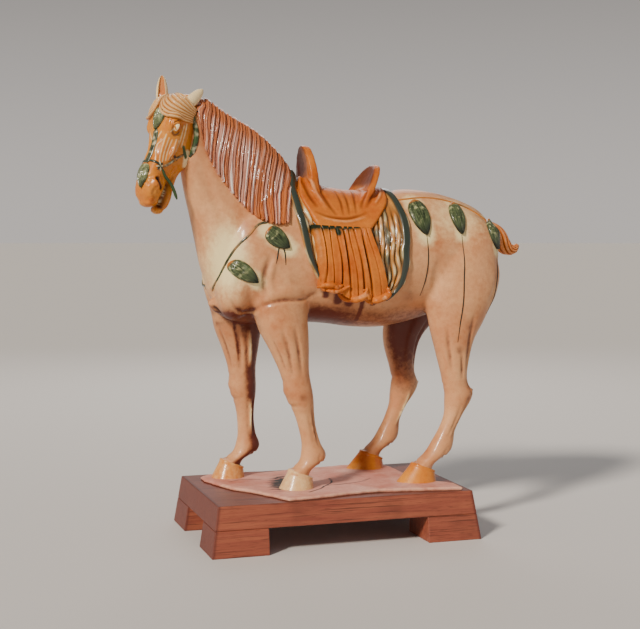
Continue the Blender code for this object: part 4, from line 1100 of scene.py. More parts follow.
def read_grid(hit, rows):
    """Places and normals for rows of arguments, the normals evened out."""
    found = [[hit(*spot) for spot in row] for row in rows]
    places = np.array([[place for place, _ in row] for row in found])
    normals = np.array([[normal for _, normal in row] for row in found])
    for _ in range(EVENED):
        around = np.pad(normals, ((1, 1), (1, 1), (0, 0)), "edge")
        beside = around[:-2, 1:-1] + around[2:, 1:-1] + around[1:-1, :-2] + around[1:-1, 2:]
        normals = (beside + 2 * normals) / 6
        normals /= np.linalg.norm(normals, axis=2, keepdims=True)
    return places, normals


def laid_on(name, places, normals, lift, sunk=SUNK):
    """A closed plate on the skin, and where each of its points is across and down it."""
    rows, columns = places.shape[:2]
    lift = np.broadcast_to(lift, (rows, columns))[:, :, None] * UNIT
    outer = (places + normals * lift).reshape(-1, 3)
    inner = (places - normals * sunk * UNIT).reshape(-1, 3)
    below = rows * columns
    corner = (np.arange(rows - 1)[:, None] * columns + np.arange(columns - 1)).ravel()
    quads = np.column_stack([corner, corner + 1, corner + columns + 1, corner + columns])
    rim = list(range(columns)) + [row * columns + columns - 1 for row in range(1, rows)]
    rim += [(rows - 1) * columns + column for column in range(columns - 2, -1, -1)]
    rim += [row * columns for row in range(rows - 2, 0, -1)]
    sides = [(here, there, below + there, below + here) for here, there in zip(rim, rim[1:] + rim[:1])]
    obj = clay(name, np.vstack([outer, inner]), [*quads, *(below + quads[:, ::-1]), *sides])
    across, down = np.meshgrid(np.linspace(0, 1, columns), np.linspace(0, 1, rows))
    paint(obj, "across", np.tile(across.ravel(), 2))
    paint(obj, "down", np.tile(down.ravel(), 2))
    return obj


def both(values):
    """A grid of numbers for a plate's outer and inner points."""
    return np.tile(np.asarray(values, float).ravel(), 2)


def dabs(points, size_mm, seed):
    """A number from about 0 to 1 for each point, as uneven as dabbed glaze."""
    scale = 1000 / size_mm
    shift = Vector((seed, 0, 0))
    return np.array([0.5 + 0.9 * noise.noise(Vector(point) * scale + shift) for point in points])


def roll(name, places, normals, half, lift, sides=12, taper=0.12):
    """A flattened roll of clay or glaze along places on a surface."""
    places, normals = np.array(places, float), np.array(normals, float)
    along = np.gradient(places, axis=0)
    along /= np.linalg.norm(along, axis=1, keepdims=True) + 1e-12
    across = np.cross(along, normals)
    across /= np.linalg.norm(across, axis=1, keepdims=True) + 1e-12
    share = np.linspace(0, 1, len(places))
    slim = np.clip(np.minimum(share, 1 - share) / taper, 0.25, 1) ** 0.5
    turn = 2 * np.pi * np.arange(sides)[:, None] / sides
    rings = []
    for place, normal, side, width in zip(places, normals, across, slim):
        spokes = side * np.cos(turn) * half + normal * np.sin(turn) * lift
        rings.append(place + spokes * width * UNIT)
    return loft(name, rings, dome=0.8)


# %% [markdown]
# ## Mane
# The mane is one thick sheet that falls on the near side, combed into some twenty locks.
# Each lock is a round ridge with two fine lines in it, white where the glaze ran off and
# as painted highlights, and amber along the crest. Hair curves would look like real hair,
# not like combed clay, so the locks are waves in the lift of one plate.

# %% Model the mane
MANE_CREST = [(-318, 948), (-272, 928), (-213, 898), (-150, 868), (-108, 830), (-86, 802), (-82, 780)]
MANE_EDGE = [(-330, 902), (-318, 838), (-292, 780), (-240, 712), (-190, 664), (-148, 648), (-114, 652)]
MANE_LOCKS = 21
LOCK_COLUMNS = 12
MANE_ROWS = 56
MANE_THICKNESS = 10
LOCK_DEPTH = 6.5
LOCK_TIP = 2.0
# Rows over the crest: how far aside of the neck's middle, and how far down they count.
OVER_CREST = (26, 13, 0, -12, -22)
OVER_CREST_DOWN = (-0.2, -0.15, -0.1, -0.05, 0.0)
# How thin the first rows are, so that the mane's far edge meets the neck.
FAR_EDGE_THIN = (0.25, 0.8)
ABOVE_CREST = 100
MANE_DRIFT = 5
LOCK_END_DROP = 7
skin = surface_of(horse_body, horse_head)
mane_columns = MANE_LOCKS * LOCK_COLUMNS + 1
crest = even_along(MANE_CREST, mane_columns)
edge = even_along(MANE_EDGE, mane_columns)
lock_share = np.arange(mane_columns) / LOCK_COLUMNS
lock_share = lock_share + 0.2 * np.sin(2.1 * lock_share) + 0.08 * np.sin(5.3 * lock_share)
lock_end = LOCK_END_DROP * np.abs(np.sin(np.pi * lock_share)) ** 0.5
neck_rows = np.array(NECK)


def mane_hit(way, along, aside, height):
    """The point and normal under the mane, from above the crest or from the near side."""
    if way == "top":
        return first_hit(skin, at(along, aside, height + ABOVE_CREST), -UP)
    return side_hit(skin, along, height, NEAR)


rows = []
for beyond in OVER_CREST:
    asides = np.interp(crest[:, 0], neck_rows[:, 2], neck_rows[:, 4]) + beyond
    rows.append([("top", along, aside, height) for (along, height), aside in zip(crest, asides)])
shoulder = np.array([mane_hit(*place)[0].z for place in rows[-1]])
shoulder = (shoulder - SOLE_LEVEL) / UNIT
for down in np.linspace(0, 1, MANE_ROWS)[1:]:
    drift = MANE_DRIFT * math.sin(math.pi * down)
    row = []
    for (top_along, _), top_height, (low_along, low_height), end in zip(crest, shoulder, edge, lock_end):
        height = (top_height - 1) * (1 - down) + (low_height - end) * down
        row.append(("side", top_along * (1 - down) + low_along * down - drift, 0, height))
    rows.append(row)
mane_places, mane_normals = read_grid(mane_hit, rows)
print("mane", len(rows), "rows and", mane_columns, "columns")

# %% Comb and paint the mane
down = np.concatenate([OVER_CREST_DOWN, np.linspace(0, 1, MANE_ROWS)[1:]])[:, None]
lock = lock_share[None, :] + 0.16 * np.sin(4.5 * down + 0.8 * lock_share[None, :])
number = np.floor(lock)
ridge = np.abs(np.sin(np.pi * lock)) ** 0.7
fine = np.abs(np.sin(3 * np.pi * lock + 0.5 * np.sin(6 * down + number))) ** 0.8
relief = 0.62 * ridge + 0.38 * fine
mane_lift = MANE_THICKNESS - LOCK_DEPTH * (1 - relief) + LOCK_TIP * bell(down, 1, 0.05) * ridge
mane_lift[:2] *= np.array(FAR_EDGE_THIN)[:, None]
mane = laid_on("mane", mane_places, mane_normals, mane_lift)
paint(mane, "hollow", both(0.9 * np.clip(1.3 - 1.7 * relief, 0, 1)))
reddish = 0.55 * (np.sin(2.4 * number + 0.5) > 0.1)
crest_gold = 0.7 * bell(down, -0.05, 0.2)
towards_withers = 0.45 * np.linspace(0, 1, mane_columns) ** 2 * down
paint(mane, "amber", both(np.maximum(crest_gold, reddish) + towards_withers))
# The ridge tops are painted pale, as thin glaze and as painted highlights.
paint(mane, "pale", both(np.clip(relief * 3.4 - 2.5, 0, 1) * (0.7 + 0.3 * np.sin(3.1 * number + 5 * down))))
fired(mane, hair_glaze)
print("mane", len(mane.data.polygons), "faces")

# %% [markdown]
# ## Forelock and ears
# The forelock parts on the poll and is combed to both sides over the brow. It is made
# as the mane is, on a grid between a front and a back strand. The ears are small cups
# of clay. A cone with a dent would have a blunt rim, so each is a loft whose section is
# a crescent that opens the way the ear faces.

# %% Model the forelock
FORELOCK_FRONT = [(-8, -8, 1), (18, 6, 3), (42, 6, 12), (54, 0, 32), (52, -26, 50), (42, -70, 55)]
FORELOCK_BACK = [(-22, -38, 2), (-22, -30, 9), (-16, -26, 22), (-4, -36, 38), (4, -52, 48), (8, -76, 48)]
FORELOCK_STRANDS = 8
STRAND_COLUMNS = 8
STRAND_ROWS = 44
FORELOCK_THICKNESS = 9
STRAND_DEPTH = 5
count = FORELOCK_STRANDS * STRAND_COLUMNS + 1
thin = np.clip((1 - np.linspace(0, 1, STRAND_ROWS)) / 0.12, 0.3, 1)
thin, strand = np.meshgrid(thin, np.linspace(0, FORELOCK_STRANDS, count))
relief = 0.65 * np.abs(np.sin(np.pi * strand)) ** 0.7 + 0.35 * np.abs(np.sin(3 * np.pi * strand)) ** 0.8
halves = []
for side in SIDES:
    rows = []
    for spread in np.linspace(0, 1, count):
        route = (1 - spread) * np.array(FORELOCK_FRONT) + spread * np.array(FORELOCK_BACK)
        route[:, 2] *= -side
        rows.append([tuple(place) for place in smooth_rows(route, STRAND_ROWS)])
    places, normals = read_grid(lambda down, out, left: head_hit(skin, down, out, left), rows)
    piece = laid_on("forelock", places, normals, (FORELOCK_THICKNESS - STRAND_DEPTH * (1 - relief)) * thin)
    paint(piece, "hollow", both(0.6 * np.clip(1.2 - 1.7 * relief, 0, 1)))
    paint(piece, "pale", both(np.clip(relief * 2.4 - 1.5, 0, 1)))
    paint(piece, "amber", 0.35)
    halves.append(piece)
fired(joined("forelock", halves), golden_hair_glaze)
print("forelock of", 2 * FORELOCK_STRANDS, "strands")

# %% Model the ears
# Ears: root on the head, then how far the tip is up, ahead and to the horse's left.
FAR_EAR = ((-2, -28, -45), (63, 0, 0))
NEAR_EAR = ((2, -44, 36), (36, -38, 8))
EAR_POINTS = 22
EAR_SECTIONS = [(-0.12, 10), (0.0, 12), (0.25, 15), (0.55, 13.5), (0.8, 10), (0.93, 6.5), (1.0, 3.5)]
EAR_OPEN = 0.45
EAR_WRAP = 140
EAR_DEPTH = 0.8
EAR_INSIDE = 0.7
EAR_BACK = 0.5


def ear(name, spot, facing):
    """A pointed cup of clay that opens the way it faces."""
    base, (up_by, ahead_by, left_by) = spot
    ahead = HEAD_LEFT.cross(UP)
    root = head_at(*base)
    rise = (UP * up_by + ahead * ahead_by + HEAD_LEFT * left_by) * UNIT
    side = np.array(rise.cross(facing).normalized())
    front = np.cross(side, np.array(rise.normalized()))
    if front @ np.array(facing) < 0:
        front = -front
    rings = []
    for share, half in smooth_rows(EAR_SECTIONS, 26):
        middle = np.array(root + rise * share)
        turns = np.radians(np.linspace(-EAR_WRAP, EAR_WRAP, EAR_POINTS))[:, None]
        outer = np.sin(turns) * side - EAR_DEPTH * np.cos(turns) * front
        dent = EAR_DEPTH * (float(np.clip((share - 0.12) / 0.2, 0, 1)) * EAR_OPEN) - EAR_BACK
        inner = np.sin(turns[::-1]) * side * EAR_INSIDE - dent * np.cos(turns[::-1]) * front
        rings.append(np.vstack([middle + outer * half * UNIT, middle + inner * half * UNIT]))
    return loft(name, rings, dome=0.4)


ears = [ear("far_ear", FAR_EAR, HEAD_LEFT.cross(UP) + HEAD_LEFT), ear("near_ear", NEAR_EAR, -HEAD_LEFT)]
for piece in ears:
    turn = np.arange(len(piece.data.vertices)) % (2 * EAR_POINTS)
    cup = (turn > 1.25 * EAR_POINTS) & (turn < 1.75 * EAR_POINTS)
    paint(piece, "pale", np.where(cup, 0.35, 0.75))
    paint(piece, "amber", np.where(cup, 0.45, 0.12))
    fired(piece, honey_glaze)
print("ears set")

# %% [markdown]
# ## Eyes
# The eye is a ball of clay pressed into its socket, with an upper and a lower lid
# rolled on over it. The lids keep the eye from looking like a bead.

# %% Model the eyes
# Lids: above or below, how far they bulge, half width. Then a half length, how much
# they slant, how far they stand out at the ends and in the middle, and their height.
EYE_LIDS = ((-1, 9.5, 3.0), (1, 8.0, 2.4))
LID_HALF_LENGTH = 13
LID_SLANT = 2.5
LID_ENDS_STAND, LID_MIDDLE_STANDS = 0.5, 2.4
LID_HEIGHT = 2.2
EYE_SUNK = 2.0
eye_parts = []
for side in SIDES:
    (down, out), sizes = EYE
    outward = HEAD_LEFT * -side
    centre, _ = cheek_hit(skin, down, out, -side)
    eyeball = ball("eye", centre - outward * EYE_SUNK * UNIT, sizes, HEAD_AXES)
    # The front of each eyeball is painted pale as its glint, the rest darker and amber.
    glinting_front = (points_of(eyeball) - np.array(centre)) @ np.array(OUT_OF_FACE) / UNIT > 1
    paint(eyeball, "pale", np.where(glinting_front, 1.0, 0.3))
    paint(eyeball, "amber", np.where(glinting_front, 0.0, 0.6))
    eye_parts.append(eyeball)
    for upper, bulge, half in EYE_LIDS:
        places, normals = [], []
        for turn in np.linspace(-1, 1, 19):
            bow = math.cos(turn * math.pi / 2)
            lid_down = down + upper * bulge * bow - LID_SLANT * turn
            place, _ = cheek_hit(skin, lid_down, out + LID_HALF_LENGTH * turn, -side)
            places.append(place + outward * (LID_ENDS_STAND + LID_MIDDLE_STANDS * bow) * UNIT)
            normals.append((outward + DOWN_FACE * 0.4 * upper).normalized())
        eye_parts.append(roll("lid", places, normals, half, LID_HEIGHT, taper=0.35))
fired(joined("eyes", eye_parts), honey_glaze)
print("eyes set")

# %% [markdown]
# ## Saddlecloth and its cover
# The cloth lies round the barrel with a rolled hem at each end and knotted strands
# between. Over it hangs a cover of gathered stuff, tied up at the bottom in loops. All
# of it is modelled clay, so the folds are carved and stay put: the big ones in the lift
# of a plate, and the curled hem as rolls laid on it.

# %% Wrap plates round the barrel
# Edges of the cloth, the cover and the saddle's flaps: along, then degrees from the back.
CLOTH_FRONT = [(-90, 0), (-100, 25), (-98, 50), (-89, 71), (-76, 92), (-47, 110), (-35, 117)]
CLOTH_BACK = [(172, 0), (183, 39), (189, 65), (184, 83), (179, 99), (163, 112), (131, 122)]
COVER_FRONT = [(-66, 66), (-56, 84), (-49, 100), (-47, 117)]
COVER_BACK = [(82, 61), (90, 73), (108, 93), (131, 119)]
FLAP_FRONT = [(-66, 0), (-78, 35), (-62, 53), (-45, 68)]
FLAP_BACK = [(160, 0), (150, 30), (122, 48), (88, 63)]
OUTSIDE_BARREL = 100


def barrel_hit(surface, along, angle):
    """The point and normal round the barrel, from the back line at angle 0."""
    table = np.array(TORSO)
    belly, back, half = (np.interp(along, table[:, 0], table[:, column]) for column in (1, 2, 3))
    middle = (belly + back) / 2
    aim = at(along, half * math.sin(angle), middle + (back - belly) / 2 * math.cos(angle))
    outward = (aim - at(along, 0, middle)).normalized()
    return first_hit(surface, aim + outward * OUTSIDE_BARREL * UNIT, -outward)


def wrapped_grid(front, back, sides, rows, columns, droop=None):
    """Places and normals between two edges, and each point's share across and down."""
    front, back = smooth_rows(front, rows), smooth_rows(back, rows)
    order = [(side, row) for side in sides for row in range(rows)]
    if len(sides) == 2:
        order = [(sides[0], row) for row in range(rows - 1, 0, -1)] + [(sides[1], row) for row in range(rows)]
    grid = []
    for side, row in order:
        line = []
        for share in np.linspace(0, 1, columns):
            along, angle = front[row] * (1 - share) + back[row] * share
            if droop:
                angle += droop(share) * (row / (rows - 1)) ** 4
            line.append((along, side * math.radians(angle)))
        grid.append(line)
    places, normals = read_grid(lambda along, angle: barrel_hit(body_skin, along, angle), grid)
    across, down = np.meshgrid(np.linspace(0, 1, columns), [row / (rows - 1) for _, row in order])
    return places, normals, across, down


# %% Model the saddlecloth
CLOTH_STRANDS = 20
CLOTH_ROWS = 64
CLOTH_COLUMNS = CLOTH_STRANDS * 10 + 1
CLOTH_THICKNESS = 7
CLOTH_BETWEEN_STRANDS = 2
STRAND_HEIGHT = 8
HEM_RISE = 9
# Where each hem runs, as a share of the cloth's width, and its half width.
HEM_AT, HEM_HALF = 0.036, 0.034
places, normals, across, down = wrapped_grid(CLOTH_FRONT, CLOTH_BACK, SIDES, CLOTH_ROWS, CLOTH_COLUMNS)
wander = 0.3 * np.sin(9 * down + 4 * across), 0.15 * np.sin(23 * down + 9 * across)
place_in_row = across * CLOTH_STRANDS + wander[0] + wander[1]
number = np.floor(place_in_row + 0.5)
strand = np.abs(np.cos(np.pi * place_in_row)) ** 0.8
knots = 0.5 + 0.5 * np.cos(38 * down + 2.6 * number)
hem = bell(across, HEM_AT, HEM_HALF, 4) + bell(across, 1 - HEM_AT, HEM_HALF, 4)
# Under the saddle the cloth is plain.
tucks = ramp(down, 0.15, 0.25)
relief = strand * (0.5 + 0.5 * knots) * tucks
cloth_lift = CLOTH_BETWEEN_STRANDS + STRAND_HEIGHT * relief * (1 - hem) + HEM_RISE * hem
saddlecloth = laid_on("saddlecloth", places, normals, cloth_lift)
print("saddlecloth of", CLOTH_STRANDS, "strands")

# %% Paint the saddlecloth
paint(saddlecloth, "hollow", both(0.95 * np.clip(1.25 - 2.4 * relief, 0, 1) * (1 - hem) * tucks))
wet = dabs(points_of(saddlecloth), 16, 12)
netted = 0.6 * (np.sin(2.4 * number + 0.6) > 0.2) * (1 - hem)
paint(saddlecloth, "green", np.maximum(both(hem), both(netted) * np.clip(0.35 + wet, 0, 1)))
amber = 0.55 * (np.sin(4.1 * number + 2) > 0.1) * (1 - hem)
paint(saddlecloth, "amber", both(amber) * np.clip(1.3 - wet, 0, 1))
# A painted highlight runs along the ridge of each hem.
hem_highlight = np.clip(hem * 4 - 3.1, 0, 1) * (0.5 + 0.5 * np.sin(7 * down + 2))
paint(saddlecloth, "pale", both(0.8 * np.maximum(np.clip(2.2 * relief - 0.9, 0, 1), hem_highlight)))
fired(saddlecloth, strand_glaze)
print("saddlecloth", len(saddlecloth.data.polygons), "faces")

# %% Model the gathered cover
COVER_ROWS, COVER_COLUMNS = 64, 150
COVER_THICKNESS = 12
FOLD_DEPTH = 8
FOLD_LIP = 2.0
TIED_DEPTH = 3.0
LOOP_RISE = 4.0
# Folds: share across at the top and at the bottom, width and depth as shares.
COVER_FOLDS = [
    (0.17, 0.12, 0.009, 0.9), (0.3, 0.2, 0.008, 0.7), (0.42, 0.33, 0.012, 0.9),
    (0.53, 0.46, 0.016, 1.0), (0.62, 0.56, 0.009, 0.7), (0.72, 0.66, 0.014, 0.9),
    (0.85, 0.76, 0.018, 1.0), (0.94, 0.9, 0.009, 0.5),
]
# Loops of the hem: from and to across, how much lower they hang in degrees.
HEM_LOOPS = [(0.0, 0.3, -1.0), (0.3, 0.72, 2.0), (0.72, 1.0, 1.5)]
# Rolls of the gathered hem on each side: along and height, half width and height.
HEM_ROLLS = [
    ([(-46, 492), (-34, 496), (-16, 496), (-4, 490), (6, 496)], 7.5, 11),
    ([(-30, 484), (-10, 482), (10, 486), (24, 494)], 6.0, 9),
    ([(2, 486), (14, 470), (34, 462), (54, 464), (68, 474), (70, 486)], 8.5, 14),
    ([(76, 466), (90, 459), (110, 464), (126, 474), (124, 486)], 8.5, 13),
    ([(62, 484), (72, 470), (82, 458), (94, 450)], 6.5, 11),
]
# Painted shadows between and under them, as along and height.
HEM_SHADOWS = [[(-38, 486), (-18, 484), (4, 488)], [(16, 460), (36, 452), (60, 460)],
               [(86, 462), (104, 466), (116, 474)]]
HEM_SHADOW_WIDTH = 16


# %% Folds and loops of the cover
def hem_line(share):
    """How many degrees lower the cover hangs at a share of its width."""
    for start, end, drop in HEM_LOOPS:
        if share <= end:
            part = (share - start) / (end - start)
            return drop * math.sin(math.pi * part) - 1.5 * (1 - math.sin(math.pi * part)) ** 4
    return 0.0


def folds(across, down):
    """How deep the folds are and how high their lips, each from 0 to about 1."""
    groove, lip = np.zeros_like(across), np.zeros_like(across)
    for number, (top, bottom, width, depth) in enumerate(COVER_FOLDS):
        centre = top + (bottom - top) * down + 0.008 * np.sin(6 * down + 2.3 * number)
        reach = np.clip((down + 0.04) / 0.1, 0.3, 1) * (0.75 + 0.25 * np.sin(5 * down + 1.9 * number))
        groove = np.maximum(groove, depth * reach * bell(across - centre, 0, width))
        lip = np.maximum(lip, depth * reach * bell(across - centre + 2.2 * width, 0, 1.6 * width))
    return groove, lip


def loops_of_hem(across, down):
    """How far the hem's loops puff out."""
    loops = np.zeros_like(across)
    for start, end, _ in HEM_LOOPS:
        loops = np.maximum(loops, np.sin(np.pi * ramp(across, start, end)) * bell(down, 1.0, 0.12))
    return loops


# %% Lay the cover and its hem
covers = []
cloth_skin = surface_of(saddlecloth)
for side in SIDES:
    places, normals, across, down = wrapped_grid(
        COVER_FRONT, COVER_BACK, (side,), COVER_ROWS, COVER_COLUMNS, hem_line)
    groove, lip = folds(across, down)
    tied = TIED_DEPTH * bell(down, 0.9, 0.05)
    under_saddle = 3 * np.exp(-(down / 0.05))
    lift = CLOTH_THICKNESS + COVER_THICKNESS - FOLD_DEPTH * groove + FOLD_LIP * lip
    lift = lift - tied + LOOP_RISE * loops_of_hem(across, down) - under_saddle
    piece = laid_on("cover", places, normals, lift)
    # Painted shadows under the hem's rolls; the fold grooves are darker with pooled glaze and painted shade.
    lines = [line_on(cloth_skin, side_hit, spots, 12, side) for spots in HEM_SHADOWS]
    dark = nearest(points_of(piece), lines, HEM_SHADOW_WIDTH)
    paint(piece, "hollow", np.maximum(both(np.clip(1.6 * groove - 0.5, 0, 1)), 0.95 * dark))
    # Painted highlights along the left edge and on the lips of the folds.
    left_edge_highlight = 0.5 * bell(across, 0.06, 0.05) * (1 - down)
    paint(piece, "pale", both(np.maximum(0.6 * np.clip(lip * 1.8 - 1.1, 0, 1), left_edge_highlight)))
    # Green ran down from the saddle's band, and once as a spot.
    under_band = 1.5 * np.exp(-(down / 0.075)) * np.clip(1.8 - 2.4 * np.abs(across - 0.3), 0, 1)
    spot_of_green = 1.3 * bell(across, 0.43, 0.05) * bell(down, 0.12, 0.08)
    paint(piece, "green", both(np.maximum(under_band, spot_of_green)))
    covers.append(piece)
    cover_skin = surface_of(piece, horse_body)
    for spots, half, height in HEM_ROLLS:
        hits = [side_hit(cover_skin, *spot, side) for spot in smooth_rows(spots, 26)]
        hem = roll("hem", *zip(*hits), half, height, taper=0.3)
        paint(hem, "pale", 0.5 * np.clip(2 * dabs(points_of(hem), 12, 5) - 1, 0, 1))
        covers.append(hem)
fired(joined("gathered_cover", covers), amber_glaze)
print("cover with", len(COVER_FOLDS), "folds on each side")

# %% [markdown]
# ## Saddle
# A saddle of wood and leather has a tall arch in front, a low scooped one behind and
# flaps between. In clay it is one soft form. Separate pieces would show their seams, so
# flaps and arches are run together with a fine remesh, and creases are then drawn down
# the flaps.

# %% Model the saddle
FLAP_THICKNESS = 13
FLAP_BAND = 3
FLAP_BAND_FROM, FLAP_BAND_EDGE = 0.8, 0.012
FLAP_RISE = 4
# Arch: foot, height, half width, lean, bow, half thickness, hollow.
FRONT_ARCH = ((-24, 716), 124, 69, -20, -10, 11, 4)
BACK_ARCH = ((116, 714), 81, 79, 28, -46, 10, 4)
ARCH_DROP = 46
ARCH_CROWN = 0.93
ARCH_ROUNDNESS = 2.0
ARCH_SPREAD = 0.2
ARCH_BOW_FADES = 0.75
ARCH_STOUTER_BELOW = 1.4
SADDLE_VOXEL = 0.0018
SADDLE_SMOOTHING = 26


def arch(name, sizes, hollow_side):
    """An upright plate across the horse, rounded at the top and hollowed on one face."""
    (along, level), height, half, lean, bow, thick, scoop = sizes
    rows, columns = 30, 49
    front, back = np.empty((rows, columns, 3)), np.empty((rows, columns, 3))
    for row, up in enumerate(np.linspace(0, 1, rows)):
        for column, across in enumerate(np.linspace(-1, 1, columns)):
            crown = (1 - ARCH_CROWN * abs(across) ** ARCH_ROUNDNESS) ** 0.5
            x = along + lean * up * crown + bow * across**2 * (1 - ARCH_BOW_FADES * up)
            y = half * across * (1 + ARCH_SPREAD * (1 - up))
            z = level - ARCH_DROP * across**2 * (1 - up) + height * up * crown
            slim = thick * (1 + ARCH_STOUTER_BELOW * (1 - up) ** 3)
            dip = scoop * (1 - across**2) * math.sin(math.pi * min(up, 0.96) / 1.1) ** 2
            front[row, column] = at(x - slim + dip * (hollow_side == "front"), y, z)
            back[row, column] = at(x + slim - dip * (hollow_side == "back"), y, z)
    middle = (front + back) / 2
    return laid_on(name, middle, (front - middle) / UNIT, 1.0, sunk=1.0)


places, normals, across, down = wrapped_grid(FLAP_FRONT, FLAP_BACK, SIDES, 30, 60)
rise = FLAP_RISE * np.abs(2 * across - 1) ** 3 * (1 - down) ** 2
band = FLAP_BAND * (1 / (1 + np.exp(-(down - FLAP_BAND_FROM) / FLAP_BAND_EDGE)))
flaps = laid_on("flaps", places, normals, FLAP_THICKNESS + band + rise)
arches = [arch("front_arch", FRONT_ARCH, "front"), arch("back_arch", BACK_ARCH, "back")]
saddle = joined("saddle", [flaps, *arches])
run_together(saddle, SADDLE_VOXEL, SADDLE_SMOOTHING)
print("saddle", len(saddle.data.polygons), "faces")

# %% Crease and paint the saddle
# Saddle marks: along and height on each side, width, depth.
SADDLE_MARKS = [
    ([(-52, 800), (-44, 750), (-30, 706), (-14, 676)], 8, -3.0),
    ([(-30, 770), (-20, 725), (-8, 690), (6, 664)], 7, 2.0),
    ([(-58, 770), (-56, 720), (-40, 684)], 8, 2.4),
    ([(20, 728), (24, 700), (22, 664)], 5, 1.3),
    ([(42, 728), (42, 700), (38, 664)], 5, 1.6),
    ([(78, 738), (64, 706), (56, 668)], 5, 1.6),
    ([(104, 742), (88, 712), (72, 680)], 6, 1.8),
    ([(130, 744), (112, 716), (88, 684)], 6, 2.2),
    ([(148, 742), (134, 716), (104, 686)], 7, -3.0),
    ([(-52, 676), (-20, 664), (24, 658), (60, 664), (92, 674)], 5, 2.6),
    ([(-50, 668), (-20, 655), (24, 649), (60, 655), (90, 665)], 7, -2.0),
]
# How much wider and deeper than in its table a mark is pressed.
MARKS_WIDER, MARKS_DEEPER = 1.1, 1.5
saddle_skin = surface_of(saddle)
saddle_marks = []
for spots, width, depth in SADDLE_MARKS:
    for side in SIDES:
        saddle_marks.append((line_on(saddle_skin, side_hit, spots, 16, side), width, depth))
shaded_creases, lit_ridges = np.zeros(len(saddle.data.vertices)), np.zeros(len(saddle.data.vertices))
for line, width, depth in saddle_marks:
    close = nearness(points_of(saddle), line, width, fading=True)
    if depth > 0:
        shaded_creases = np.maximum(shaded_creases, close)
    else:
        lit_ridges = np.maximum(lit_ridges, close)
press(saddle, [(line, width * MARKS_WIDER, depth * MARKS_DEEPER) for line, width, depth in saddle_marks])
# Painted shade on the front arch's front face, more on the far side, in the back arch's scoop and in the
# creases; painted highlights on the ridges.
along, aside, height = ((points_of(saddle) - ORIGIN) / UNIT).T
forward = -normals_of(saddle)[:, 0]
front_face = np.clip(forward * 1.2, 0, 1) * ramp(height, 720, 780) * (along < 20)
turned_away = np.clip(0.45 - aside / 110, 0.1, 1)
in_shade = front_face * (1.1 - turned_away)
scoop = np.clip(forward * 1.3, 0, 1) * ramp(height, 728, 748) * (along > 60)
hollow = np.maximum(0.85 * in_shade, 0.75 * scoop)
paint(saddle, "hollow", np.maximum(hollow, 0.7 * shaded_creases))
paint(saddle, "pale", 0.5 * lit_ridges)
paint(saddle, "stain_and_shade", 0.95 * in_shade + 0.4 * scoop)
fired(saddle, amber_glaze)
print("pressed", len(saddle_marks), "marks on the saddle")

# %% [markdown]
# ## Leaves and straps
# Pendants shaped like leaves hang from the breast strap and the crupper. Each was
# pressed in a mould with fine lines along it, and its green ran down the body in a long
# thin line. One leaf could be copied to each place, but each has to bend with the skin
# below it, so one function lays a domed plate with a pointed tip wherever it is asked.

# %% Model the leaves
LEAF_HEIGHT = 12
LEAF_RIM = 4
LEAF_SUNK = 5
# The outline: how full it is, how blunt its root and how pointed its tip.
LEAF_FULL, LEAF_BLUNT, LEAF_POINTED = 2.2, 0.42, 0.75
# Depths of the lines along it, of the notches across them and of the middle rib.
LINE_DEPTH, NOTCH_DEPTH, RIB_HEIGHT = 1.2, 0.7, 0.8


def leaf(name, hit, root, tip, half, height, darkness=1.0):
    """A pointed, domed leaf with fine lines along it."""
    root, tip = np.array(root, float), np.array(tip, float)
    axis = tip - root
    across_axis = np.array([-axis[1], axis[0]]) / np.linalg.norm(axis)
    grid = []
    down, across = np.linspace(0.01, 0.995, 34), np.linspace(-1, 1, 31)
    for share in down:
        width = half * LEAF_FULL * share**LEAF_BLUNT * (1 - share) ** LEAF_POINTED
        grid.append([tuple(root + axis * share + across_axis * width * place) for place in across])
    places, normals = read_grid(hit, grid)
    across, down = np.meshgrid(across, down)
    dome = np.clip(1 - across**2, 0, 1) ** 0.6 * (0.55 + 0.45 * np.sin(np.pi * down**0.7))
    lines = np.abs(np.sin(5.5 * np.pi * across * (1 + 0.25 * down)))
    notches = np.abs(np.sin(13 * np.pi * down + 3 * across**2))
    carved = LINE_DEPTH * (1 - lines) + NOTCH_DEPTH * (1 - notches)
    lift = LEAF_RIM + (height - LEAF_RIM) * dome - carved * dome + RIB_HEIGHT * bell(across, 0, 0.09) * dome
    piece = laid_on(name, places, normals, lift, sunk=LEAF_SUNK)
    paint(piece, "hollow", both(0.8 * np.clip(1 - 1.8 * lines, 0, 1) * dome))
    dark_tip = ramp(down, 0.6, 1.1, most=0.8) + 0.4 * ramp(np.abs(across), 0.75, 1)
    paint(piece, "green", both(dark_tip) * darkness)
    paint(piece, "amber", both(0.95 * bell(down, 0, 0.08)))
    dabbed = 0.9 * np.clip(2.4 * dabs(points_of(piece), 6, 2) - 1.3, 0, 1) * both(1 - down)
    fine_lines = both(0.5 * np.clip(3 * lines * notches - 1.6, 0, 1) * (1.1 - down))
    paint(piece, "pale", np.maximum(dabbed, fine_lines) + 0.35 * (1 - darkness))
    return piece


leaves = []
for side in SIDES:
    for name, (root, tip, half) in LEAVES.items():
        leaves.append(leaf(name, lambda *spot: side_hit(skin, *spot, side), root, tip, half, LEAF_HEIGHT))
print(len(leaves), "leaves")
fired(joined("leaf_pendants", leaves), leaf_glaze)

# %% Straps and the runs of green glaze
BREAST_STRAP = [(-168, 648), (-191, 642), (-216, 616), (-236, 597), (-253, 574), (-268, 544),
                (-284, 499), (-287, 482)]
CRUPPER_STRAP = [(157, 702), (195, 706), (250, 711), (302, 706), (357, 691), (390, 676),
                 (413, 661), (445, 640)]
STRAP_RADIUS = 3.1
STRAP_HEIGHT = 2.6
RUN_HALF, RUN_HEIGHT = 1.7, 1.1


def lie_along(route, count, side):
    """Places and normals of a route over the body's side."""
    return zip(*[side_hit(skin, *spot, side) for spot in smooth_rows(route, count)])


